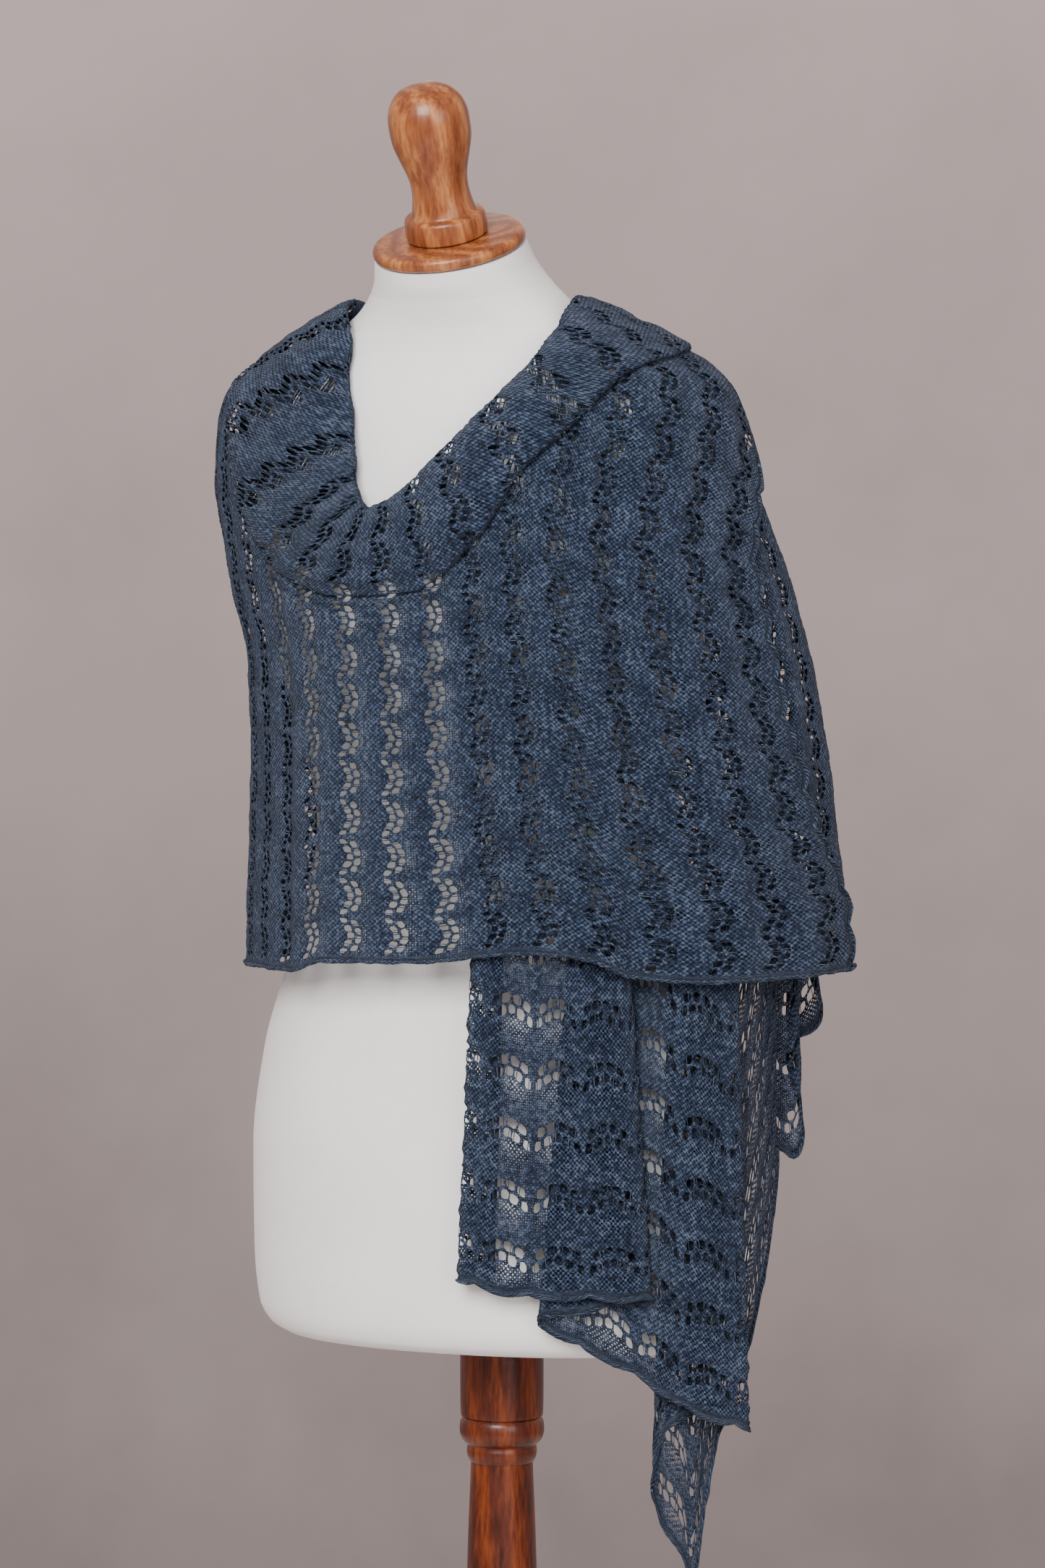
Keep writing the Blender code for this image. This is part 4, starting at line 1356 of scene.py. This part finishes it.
class Nodes:
    """A small helper that adds nodes to a material or a world and joins them."""

    def __init__(self, owner: bpy.types.Material | bpy.types.World) -> None:
        """Start from the owner's own shader.

        Args:
            owner: The material or the world.
        """
        self.owner = owner
        owner.use_nodes = True
        self.tree = owner.node_tree
        shader = "Background" if isinstance(owner, bpy.types.World) else "Principled BSDF"
        self.shader = self.tree.nodes[shader]

    def add(self, kind: str, inputs: dict[str | int, object] | None = None,
            **settings: object) -> bpy.types.Node:
        """Add a node.

        Args:
            kind: The node's type without its ShaderNode prefix.
            inputs: Values, or sockets to link from, by input name or number.
            settings: The node's own settings.

        Returns:
            The node.
        """
        node = self.tree.nodes.new("ShaderNode" + kind)
        for name, value in settings.items():
            setattr(node, name, value)
        self.set(node, inputs or {})
        return node

    def set(self, node: bpy.types.Node, inputs: dict[str | int, object]) -> None:
        """Set a node's inputs.

        Args:
            node: The node.
            inputs: Values, or sockets to link from, by input name or number.
        """
        for name, value in inputs.items():
            if isinstance(value, bpy.types.NodeSocket):
                self.tree.links.new(value, node.inputs[name])
            else:
                node.inputs[name].default_value = value

    def shade(self, inputs: dict[str, object]) -> None:
        """Set the shader's own inputs."""
        self.set(self.shader, inputs)

    def math(self, operation: str, *values: object) -> bpy.types.NodeSocket:
        """One sum of values or sockets."""
        return self.add("Math", dict(enumerate(values)), operation=operation).outputs[0]

    def vector(self, operation: str, inputs: dict[str | int, object]) -> bpy.types.NodeSocket:
        """One sum of vectors."""
        return self.add("VectorMath", inputs, operation=operation).outputs[0]

    def noise(self, vector: object, kind: Noise, output: str = "Fac") -> bpy.types.NodeSocket:
        """A cloudy pattern read at a vector."""
        inputs = {"Vector": vector, "Scale": kind.scale, "Detail": kind.detail, "Roughness": kind.roughness}
        return self.add("TexNoise", inputs).outputs[output]

    def warped(self, places: object, pattern_at: object, kind: Noise, amount: float) -> Sequence[object]:
        """Move places about by a cloudy pattern.

        Args:
            places: The places.
            pattern_at: Where the pattern is read.
            kind: The pattern.
            amount: How strongly it moves the places.

        Returns:
            The moved x, y and z.
        """
        colour = self.noise(pattern_at, kind, "Color")
        centred = self.vector("SUBTRACT", {0: colour, 1: (0.5, 0.5, 0.5)})
        shift = self.vector("SCALE", {0: centred, "Scale": amount})
        return self.add("SeparateXYZ", {0: self.vector("ADD", {0: places, 1: shift})}).outputs

    def fit(self, value: object, low: float, high: float, start: float = 0.0,
            end: float = 1.0) -> bpy.types.NodeSocket:
        """The value moved from one range to another and held there."""
        ranges = {"From Min": low, "From Max": high, "To Min": start, "To Max": end}
        return self.add("MapRange", {"Value": value, **ranges}).outputs["Result"]

    def ramp(self, value: object, *stops: tuple[float, Colour]) -> bpy.types.NodeSocket:
        """Read a colour from a few stops.

        Args:
            value: Where to read.
            stops: The places of the colours and the colours.

        Returns:
            The colour.
        """
        node = self.add("ValToRGB", {"Fac": value})
        elements = node.color_ramp.elements
        while len(elements) < len(stops):
            elements.new(0.5)
        for element, (place, colour) in zip(elements, stops):
            element.position = place
            element.color = (*colour, 1.0)
        return node.outputs["Color"]

    def bump(self, height: object, distance: float, strength: float) -> None:
        """Drive the shader's normal by a height."""
        node = self.add("Bump", {"Height": height, "Distance": distance, "Strength": strength})
        self.shade({"Normal": node.outputs["Normal"]})


@dataclass(frozen=True)
class YarnFinish:
    """Heathered slate blue yarn, knitted finely enough to see through between its stitches.

    The knit attribute counts fans and bands, and the stitches are counted in each.
    """

    name: str
    wales: float
    courses: float
    # Heather tones of the yarn; the darkest and lightest are reached mostly through the painted shade in the
    # stitch hollows and the painted highlight on the yarn ridges.
    dark: Colour = (0.0010, 0.0028, 0.0085)
    middle: Colour = (0.0070, 0.0160, 0.043)
    soft: Colour = (0.018, 0.031, 0.063)
    light: Colour = (0.090, 0.120, 0.180)
    size: tuple[float, float, float] = (0.028, 0.036, 0.028)
    warp: float = 0.055
    fuzziness: float = 0.9
    unevenness: float = 0.22
    # Painted shade: how much darker the colour is where the stitches lie deep, and lighter, as a painted
    # highlight, on the yarn ridges.
    painted_stitch_shade: float = -0.10
    closed: float = 1.04
    opening: float = -1.90
    wobble: Noise = Noise(330.0)
    fuzz: Noise = Noise(1700.0, 3.0, 0.65)
    loose: Noise = Noise(120.0)
    heather: Noise = Noise(280.0, 5.0, 0.80)
    slow: Noise = Noise(45.0)

    def material(self) -> bpy.types.Material:
        """Make the material.

        Returns:
            The material.
        """
        n = Nodes(bpy.data.materials.new(self.name))
        knit = n.add("Attribute", attribute_name="knit").outputs["Vector"]
        slack = n.add("Attribute", attribute_name="open").outputs["Fac"]
        place = n.vector("MULTIPLY", {0: knit, 1: self.size})
        parts = n.warped(knit, place, self.wobble, self.warp)
        across = n.math("COSINE", n.math("MULTIPLY", parts[0], 2 * math.pi * self.wales))
        along = n.math("COSINE", n.math("MULTIPLY", parts[1], 2 * math.pi * self.courses))
        stitch = n.math("MULTIPLY", across, along)
        fuzz = n.noise(place, self.fuzz)
        centred = n.math("SUBTRACT", stitch, self.fuzziness / 2)
        depth = n.math("MULTIPLY_ADD", fuzz, self.fuzziness, centred)
        heather = n.noise(place, self.heather)
        slow = n.noise(place, self.slow)
        steady = n.math("SUBTRACT", heather, self.unevenness / 2)
        tone = n.math("MULTIPLY_ADD", slow, self.unevenness, steady)
        # The heather's tone plus painted shade in the stitch hollows and a painted highlight on the yarn
        # ridges.
        shade = n.math("MULTIPLY_ADD", depth, self.painted_stitch_shade, tone)
        opened = n.math("MULTIPLY", slack, n.fit(n.noise(place, self.loose), 0.3, 0.7, 0.7, 1.3))
        edge = n.math("MULTIPLY_ADD", opened, self.opening, self.closed)
        n.shade({
            "Base Color": n.ramp(shade, (0.39, self.dark), (0.47, self.middle), (0.54, self.soft),
                                 (0.64, self.light)),
            "Alpha": n.fit(n.math("SUBTRACT", depth, edge), 0.05, -0.05),
            "Roughness": n.fit(fuzz, 0.2, 0.8, 0.80, 0.98),
            "Sheen Weight": 0.16,
            "Sheen Roughness": 0.45,
            "Sheen Tint": (0.50, 0.60, 0.75, 1.0),
            "Specular IOR Level": 0.2,
        })
        n.bump(n.math("MULTIPLY_ADD", depth, -1.0, n.math("MULTIPLY", heather, 2.5)), 0.0008, 0.9)
        return n.owner


@dataclass(frozen=True)
class CoverFinish:
    """Matt off-white cotton knit pulled tight over the padded form."""

    pale: Colour = (0.84, 0.84, 0.83)
    soft: Colour = (0.765, 0.762, 0.750)
    thread: Noise = Noise(1500.0, 2.0, 0.6)
    cloud: Noise = Noise(14.0, 3.0, 0.55)
    stretch: tuple[float, float, float] = (1.0, 1.0, 0.6)

    def material(self) -> bpy.types.Material:
        """Make the material.

        Returns:
            The material.
        """
        n = Nodes(bpy.data.materials.new("off_white_cotton_cover"))
        place = n.add("TexCoord").outputs["Object"]
        stretched = n.add("Mapping", {"Vector": place, "Scale": self.stretch}).outputs[0]
        weave = n.noise(stretched, self.thread)
        cloud = n.noise(place, self.cloud)
        tone = n.math("MULTIPLY_ADD", weave, 0.55, n.math("MULTIPLY", cloud, 0.45))
        n.shade({
            "Base Color": n.ramp(tone, (0.36, self.soft), (0.60, self.pale)),
            "Roughness": n.fit(weave, 0.2, 0.8, 0.82, 0.96),
            "Specular IOR Level": 0.25,
            "Sheen Weight": 0.12,
            "Sheen Roughness": 0.5,
        })
        n.bump(weave, 0.0004, 0.35)
        return n.owner


@dataclass(frozen=True)
class WoodFinish:
    """Satin-varnished wood whose growth rings show as streaks on what is turned from it."""

    name: str
    pale: Colour
    middle: Colour
    dark: Colour
    heart: tuple[float, float]
    rings: float = 420.0
    lean: float = 0.10
    draw: tuple[float, float, float] = (1.0, 1.0, 0.16)
    warp: Noise = Noise(38.0, 3.0, 0.55)
    streak: Noise = Noise(330.0, 4.0, 0.6)

    def material(self) -> bpy.types.Material:
        """Make the material.

        Returns:
            The material.
        """
        n = Nodes(bpy.data.materials.new(self.name))
        place = n.add("Attribute", attribute_name="grain").outputs["Vector"]
        drawn = n.add("Mapping", {"Vector": place, "Scale": self.draw}).outputs[0]
        parts = n.warped(place, drawn, self.warp, 0.022)
        leaning = n.math("MULTIPLY", parts[2], self.lean)
        x = n.math("ADD", n.math("SUBTRACT", parts[0], self.heart[0]), leaning)
        y = n.math("SUBTRACT", parts[1], self.heart[1])
        reach = n.math("SQRT", n.math("ADD", n.math("MULTIPLY", x, x), n.math("MULTIPLY", y, y)))
        ring = n.math("SINE", n.math("MULTIPLY", reach, self.rings))
        streak = n.noise(drawn, self.streak)
        tone = n.math("MULTIPLY_ADD", ring, 0.11, n.math("MULTIPLY_ADD", streak, 0.80, 0.07))
        n.shade({
            "Base Color": n.ramp(tone, (0.20, self.dark), (0.46, self.middle), (0.72, self.pale)),
            "Roughness": n.fit(streak, 0.3, 0.7, 0.30, 0.42),
            "Coat Weight": 0.18,
            "Coat Roughness": 0.16,
            "Specular IOR Level": 0.35,
        })
        n.bump(streak, 0.0002, 0.25)
        return n.owner


def dress(piece: bpy.types.Object, material: bpy.types.Material, slot: Slot,
          *nodes: str) -> bpy.types.Object:
    """Give a piece its material, set it on the body and say which solids it stands for.

    Args:
        piece: The piece.
        material: Its material.
        slot: The record's slot for that material; not used.
        nodes: The solids that it stands for.

    Returns:
        The piece.
    """
    piece.data.materials.clear()
    piece.data.materials.append(material)
    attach(piece, BODY)
    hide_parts(*nodes)
    log.info("%s stands for %s", piece.name, ", ".join(nodes))
    return piece


@dataclass
class Turning:
    """A piece turned on a lathe."""

    name: str
    profile: Sequence[tuple[float, float]]
    centre: tuple[float, float, float] = (0.0, 0.0, 0.0)
    lean: float = 0.0
    sides: int = 72
    steps: int = 4
    sharp: float = 50.0

    def build(self) -> bpy.types.Object:
        """Make the turned solid, with its grain places kept from before it leans.

        Returns:
            The piece.
        """
        rows = rounded(np.array(self.profile), self.steps)
        heights, radii = rows[:, :1], rows[:, 1:]
        sine, cosine = direction(360.0 * np.arange(self.sides) / self.sides)
        rings = np.stack([radii * cosine, radii * sine, heights.repeat(self.sides, axis=1)], -1)
        local = np.concatenate([rings.reshape(-1, 3), [(0, 0, rows[0, 0]), (0, 0, rows[-1, 0])]])
        x, y, z = local.T
        sine, cosine = direction(self.lean)
        placed = np.column_stack([x, y * cosine - z * sine, y * sine + z * cosine]) + self.centre
        faces = capped_faces(len(rows), self.sides)
        return smooth_object(self.name, placed, faces, {"grain": local}, self.sharp)


@dataclass
class DressForm:
    """The padded form, its neck plate and finial, and the post and base it stands on."""

    sides: int = 144
    ring_step: float = 0.006
    foot_rings: tuple[float, ...] = (0.802, 0.804, 0.809, 0.813)
    sharp: float = 40.0
    base_sides: int = 120
    crown: WoodFinish = WoodFinish("varnished_striped_wood", (0.460, 0.185, 0.060), (0.245, 0.072, 0.022),
                                   (0.110, 0.026, 0.010), (0.030, 0.012))
    stand: WoodFinish = WoodFinish("dark_varnished_wood", (0.190, 0.037, 0.004), (0.080, 0.011, 0.0012),
                                   (0.016, 0.003, 0.0008), (0.020, -0.045), rings=300.0)

    def form_mesh(self) -> bpy.types.Object:
        """Make the padded form, closed flat underneath and under its neck plate.

        Returns:
            The piece.
        """
        even = np.arange(FORM.at[0], FORM.at[-1], self.ring_step)
        heights = np.unique(np.concatenate([even, FORM.at, self.foot_rings]))
        half, front, back, middle, lean = (column[:, None] for column in split(FORM(heights)))
        sine, cosine = direction(360.0 * np.arange(self.sides) / self.sides)
        lean_sine, lean_cosine = direction(lean)
        power = 2.0 / FORM_EXPONENT
        x = half * np.sign(sine) * np.abs(sine) ** power
        y = -np.where(cosine > 0, front, back) * np.sign(cosine) * np.abs(cosine) ** power
        rings = np.stack([x, middle + y * lean_cosine, heights[:, None] + y * lean_sine], -1)
        ends = [(0.0, 0.0, heights[0]), rings[-1].mean(axis=0)]
        points = np.concatenate([rings.reshape(-1, 3), ends])
        return smooth_object("padded_form", points, capped_faces(len(heights), self.sides), {}, self.sharp)

    def build(self) -> None:
        """Make and dress every piece of the form and its stand."""
        dress(self.form_mesh(), CoverFinish().material(), Slot.COVER, "torso")
        crown, stand = self.crown.material(), self.stand.material()
        plate = Turning("wooden_neck_plate", PLATE_PROFILE, NECK_CENTRE, CROWN_LEAN)
        finial = Turning("wooden_finial", FINIAL_PROFILE, NECK_CENTRE, CROWN_LEAN)
        post = Turning("turned_post", POST_PROFILE)
        base = Turning("round_base", BASE_PROFILE, sides=self.base_sides)
        dress(plate.build(), crown, Slot.WOOD, "neck_plate")
        dress(finial.build(), crown, Slot.WOOD, "finial")
        dress(post.build(), stand, Slot.WOOD, "post")
        dress(base.build(), stand, Slot.WOOD, "base_disc")


@dataclass(frozen=True)
class NeckFold:
    """How the upper edge of the wrapped cloth folds over at the neckline.

    The first rows over the fold start from two rows of the panel below it, counted from its last.
    """

    gap: float = 0.0085
    outer_gap: float = 0.0065
    inner_gap: float = 0.0012
    inner_from: float = -0.002
    start_rows: tuple[int, int] = (-9, -5)
    rounding: int = 7
    swag_power: float = 1.2

    def swags(self, station: Array, rows: int) -> Array:
        """How far the swags stand out.

        Args:
            station: The neckline's station of each column.
            rows: How many rows the fold has.

        Returns:
            A distance for each row and column.
        """
        section = np.arange(rows)[:, None] / self.rounding
        stands = np.zeros((rows, len(station)))
        for row_start, row_end, begin, finish, width, stand in SWAGS:
            share = np.clip((station - begin) / (finish - begin), 0.0, 1.0)
            row = row_start + (row_end - row_start) * share
            window = np.sin(np.pi * share) ** self.swag_power
            stands += stand * window * np.exp(-(((section - row) / width) ** 2))
        return stands

    def carry(self, form: PaddedForm, grid: Array, crease: Array, station: Array) -> Array:
        """Carry a panel on over the neckline.

        Args:
            form: The padded form, which the fold keeps clear of.
            grid: The panel's places, its last row at the crease.
            crease: The crease's places, one for each column.
            station: The neckline's station of each column.

        Returns:
            The panel's rows, then those over the fold.
        """
        values, firm = NECKLINE(station), FIRMNESS(station)
        bulge, roll, overhang = values[:, 5:6], firm[:, :1], firm[:, 1:2]
        ridge = form.clear(values[:, :3], self.gap)
        crease = form.clear(crease, self.gap)
        length = np.linalg.norm(ridge - crease, axis=1, keepdims=True)
        along = (ridge - crease) / length
        away = form.distance((ridge + crease) / 2)[1]
        away = unit(away - along * np.sum(away * along, axis=1, keepdims=True))
        rows = [grid[row] for row in self.start_rows]
        for share, soft, firmly, hang, out in FOLD_SECTION:
            puff = soft + (firmly - soft) * roll
            point = crease + along * (share * length - hang * overhang) + away * (puff * bulge + out)
            rows.append(form.clear(point, self.inner_gap if out < self.inner_from else self.outer_gap))
        fold = rounded(np.array(rows), self.rounding)
        fold = fold + grid_normals(fold) * self.swags(station, len(fold))[..., None]
        return np.concatenate([grid[:self.start_rows[0]], form.clear(fold, self.inner_gap)])


@dataclass(frozen=True)
class HangingEnd:
    """The pleated end in front of the left hip, whose pleats are seen square on from its left."""

    top: float = 1.110
    facing: float = 22.0
    rounding: int = 6
    columns: int = 150
    rim: tuple[float, float, int] = (-25.0, 85.0, 400)
    rim_reach: float = 0.165
    gap: float = 0.0101
    layer: float = 0.0060
    wave: float = 0.0011

    def grid(self, cape: Cape) -> Array:
        """Places of the hanging end.

        Args:
            cape: The wrapped cloth that it comes out from under.

        Returns:
            Rows across from its neck edge, columns from its lower edge up.
        """
        lines = rounded(np.array(PLEATS), self.rounding)
        across_top, across_low, layer, deep_top, deep_low, foot = (column[:, None] for column in lines.T)
        share = np.linspace(1.0, 0.0, self.columns)
        angles = np.linspace(*self.rim)
        rim = cape.place(angles, np.full_like(angles, float(cape.down_of_height(self.top))))
        sine, cosine = direction(self.facing)
        reach = rim[:, 0] * cosine + rim[:, 1] * sine
        behind = rim[:, 1] * cosine - rim[:, 0] * sine
        near = np.interp(np.minimum(across_top, self.rim_reach), reach, behind)
        across = across_top + (across_low - across_top) * share
        depths = near + self.gap + layer * self.layer + deep_top + (deep_low - deep_top) * share
        row = np.arange(len(lines))[:, None]
        waves = np.sin(row * 0.21 + 3.0 * share) * np.sin(5.0 * share + row * 0.05)
        depths = depths + self.wave * waves * share
        heights = self.top + (foot - self.top) * share
        return np.stack([across * cosine - depths * sine, across * sine + depths * cosine, heights], -1)


@dataclass
class Shawl:
    """The lace shawl, stretch by stretch in the order in which the cloth runs."""

    cape: Cape = field(default_factory=Cape)
    chart: LaceChart = field(default_factory=LaceChart)
    neck_fold: NeckFold = field(default_factory=NeckFold)
    seam: float = 0.21
    fan: float = 0.0268
    band: float = 0.0335
    hem: Edge = field(default_factory=lambda: Edge(0.004, 0.0013))
    rows: int = 180
    columns_per_degree: float = 2.2
    fewest_columns: int = 24
    passes: int = 6
    right_side: float = -75.0
    right_back: float = -140.0
    left_back: float = 118.0
    left_front: float = 60.0

    def panel(self, start: float, end: float, layer: Passing = PLAIN_LAYER,
              hem: Callable[[Array], Array] = hem_height, end_edge: Curve | None = None,
              gap: float = 0.0042, past_end: float = 0.0, folded: bool = True) -> Array:
        """Places of one stretch of the wrapped cloth between two angles.

        Args:
            start: Angle of the first column.
            end: Angle of the last column.
            layer: How far out the stretch lies, by angle.
            hem: Height of its lower edge, by angle.
            end_edge: Where a leaning end edge lies, by height.
            gap: The least distance from the padded form.
            past_end: A further share of the width past the end edge.
            folded: Whether the cloth goes on over the neckline's fold, or ends tucked behind it.

        Returns:
            Rows from the hem up, columns by angle.
        """
        columns = max(self.fewest_columns, int((end - start) * self.columns_per_degree))
        share = np.linspace(0.0, 1.0 + past_end, columns)[None, :].repeat(self.rows, axis=0)
        fall = np.linspace(1.0, 0.0, self.rows)[:, None].repeat(columns, axis=1)
        angle = straight = start + (end - start) * share
        top = self.cape.crease_height if folded else self.cape.top
        for _ in range(self.passes):
            high = self.cape.down_of_height(top(angle))
            low = self.cape.down_of_height(hem(angle))
            down = high + (low - high) * fall
            if end_edge is not None:
                lean = end_edge(self.cape.rings(down)[..., 0]) - end
                angle = straight + lean * share ** 4
        grid = self.cape.form.clear(self.cape.place(angle, down, layer(angle)), gap)
        if not folded:
            return grid
        crease = self.cape.place(angle[-1], down[-1], layer(angle[-1]))
        return self.neck_fold.carry(self.cape.form, grid, crease, self.cape.station(angle[-1]))

    def front_wrap(self) -> Stretch:
        """The top layer across the front, from the right arm to its end edge at the left arm."""
        grid = self.panel(self.right_side, 86.0, TOP_LAYER, end_edge=END_EDGE, gap=0.009, past_end=0.012)
        return Stretch("front_wrap_lace", grid, ("front_wrap", "front_neck_fold"), self.fan, self.band,
                       low=self.hem, end=Edge(0.005, 0.0014, 0.005), seed=3)

    def right_arm(self) -> Stretch:
        """The cloth round the right arm."""
        grid = self.panel(self.right_back, self.right_side - self.seam)
        return Stretch("right_arm_lace", grid, ("right_arm_panel",), self.fan, self.band, low=self.hem,
                       seed=5)

    def back(self) -> Stretch:
        """The cloth across the back, from behind the left shoulder."""
        grid = self.panel(self.left_back - 360.0 + self.seam, self.right_back - self.seam)
        return Stretch("back_lace", grid, ("back_panel", "back_neck_fold"), self.fan, self.band,
                       low=self.hem, seed=7)

    def left_arm(self) -> Stretch:
        """The first layer over the left shoulder and arm, seen beyond the front wrap's end."""
        grid = self.panel(self.left_front, self.left_back, UNDER_LAYER, under_hem, folded=False)
        return Stretch("left_arm_lace", grid, ("left_arm_panel",), self.fan, self.band, low=self.hem,
                       seed=9)

    def under_front(self) -> Stretch:
        """The first layer under the front wrap, its bands level as in the hanging end."""
        grid = self.panel(9.5, self.left_front - self.seam, UNDER_LAYER, under_hem, folded=False)
        return Stretch("under_front_lace", grid.transpose(1, 0, 2), ("under_front",), 0.0330, 0.0400,
                       measured=Measured.ALONG, outward=-1.0, low=Edge(0.003, 0.0012), beyond=False,
                       seed=11)

    def hanging_end(self) -> Stretch:
        """The pleated end that hangs in front of the left hip."""
        grid = HangingEnd().grid(self.cape)
        return Stretch("hanging_end_lace", grid, ("hanging_end",), 0.0355, 0.0415, held="hung",
                       measured=Measured.ALONG, outward=-1.0, reference=0.35, low=Edge(0.004, 0.0011),
                       high=Edge(0.004, 0.0013), start=Edge(0.006, 0.0012, 0.0035), beyond=False, seed=13)

    def build(self) -> None:
        """Make and dress every stretch."""
        across = YarnFinish("slate_blue_lace_across_the_body", 8.6, 9.0).material()
        down = YarnFinish("slate_blue_lace_hanging_down", 12.0, 12.0).material()
        for make in (self.hanging_end, self.under_front, self.left_arm, self.back, self.right_arm,
                     self.front_wrap):
            stretch = make()
            yarn = across if stretch.beyond else down
            piece = dress(stretch.build(self.chart), yarn, Slot.KNIT, *stretch.nodes)


@dataclass
class Studio:
    """The camera at the photo's angle, soft lights and a pale floor.

    The photo's height and the camera's shift are in its pixels, and the pixel's size holds at the post.
    """

    distance: float = 3.2
    turn: float = 22.0
    height: float = 1.30
    photo_height: int = 2168
    pixel: float = 0.00051
    shift: tuple[float, float] = (28.5, -224.4)
    sensor: float = 36.0
    aim: tuple[float, float, float] = (0.0, 0.0, 1.2)
    floor_reach: float = 2.0
    floor_dark: Colour = (0.66, 0.64, 0.62)
    floor_pale: Colour = (0.70, 0.68, 0.66)
    wall_dark: Colour = (0.285, 0.226, 0.216)
    wall_pale: Colour = (0.660, 0.530, 0.515)
    wall_mottle: Noise = Noise(9.0, 5.0, 0.6)
    wall_light: float = 0.95

    def camera(self) -> None:
        """Set the camera where the photo was taken from."""
        data = bpy.data.cameras.new("camera")
        data.sensor_fit = "VERTICAL"
        data.sensor_width = self.sensor
        data.sensor_height = self.sensor
        data.lens = self.sensor * self.distance / (self.photo_height * self.pixel)
        data.shift_x = self.shift[0] / self.photo_height
        data.shift_y = self.shift[1] / self.photo_height
        item = add_object("camera", data)
        sine, cosine = direction(self.turn)
        item.location = (self.distance * sine, -self.distance * cosine, self.height)
        item.rotation_euler = (math.radians(90.0), 0.0, math.radians(self.turn))
        bpy.context.scene.camera = item

    def light(self, name: str, place: tuple[float, float, float], size: float, power: float) -> None:
        """Add one soft square light that looks at the shawl.

        Args:
            name: The light's name.
            place: Where it stands.
            size: The length of its sides.
            power: Its power in watts.
        """
        data = bpy.data.lights.new(name, "AREA")
        data.shape = "SQUARE"
        data.size = size
        data.energy = power
        item = add_object(name, data)
        item.location = place
        look = Vector(self.aim) - Vector(place)
        item.rotation_euler = look.to_track_quat("-Z", "Y").to_euler()

    def floor(self) -> None:
        """Lay a plain pale floor."""
        n = Nodes(bpy.data.materials.new("pale_floor"))
        tone = n.noise(n.add("TexCoord").outputs["Object"], Noise(3.0))
        colour = n.ramp(tone, (0.3, self.floor_dark), (0.7, self.floor_pale))
        n.shade({"Base Color": colour, "Roughness": 0.8})
        data = bpy.data.meshes.new("floor")
        far = self.floor_reach
        corners = [(-far, -far, 0), (far, -far, 0), (far, far, 0), (-far, far, 0)]
        data.from_pydata(corners, [], [(0, 1, 2, 3)])
        data.materials.append(n.owner)
        add_object("floor", data)

    def world(self) -> None:
        """Fill the room with pale light that falls off below, like a softly mottled painted wall."""
        n = Nodes(bpy.data.worlds.new("room"))
        heading = n.add("TexCoord").outputs["Generated"]
        height = n.add("SeparateXYZ", {0: heading}).outputs["Z"]
        level = n.math("MULTIPLY_ADD", n.noise(heading, self.wall_mottle), 0.26, height)
        colour = n.ramp(n.fit(level, -0.09, 0.28), (0.0, self.wall_dark), (1.0, self.wall_pale))
        n.shade({"Color": colour, "Strength": self.wall_light})
        bpy.context.scene.world = n.owner

    def build(self) -> None:
        """Set up the whole studio."""
        self.camera()
        self.world()
        self.floor()
        self.light("key", (0.35, -2.95, 2.5), 1.5, 146.0)
        self.light("fill", (2.5, -2.2, 1.6), 1.8, 42.0)
        self.light("rim", (-0.6, 2.4, 2.6), 1.4, 6.0)


def main() -> None:
    """Build the studio, the form and the shawl in order."""
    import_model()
    Studio().build()
    DressForm().build()
    Shawl().build()


if __name__ == "__main__":
    main()
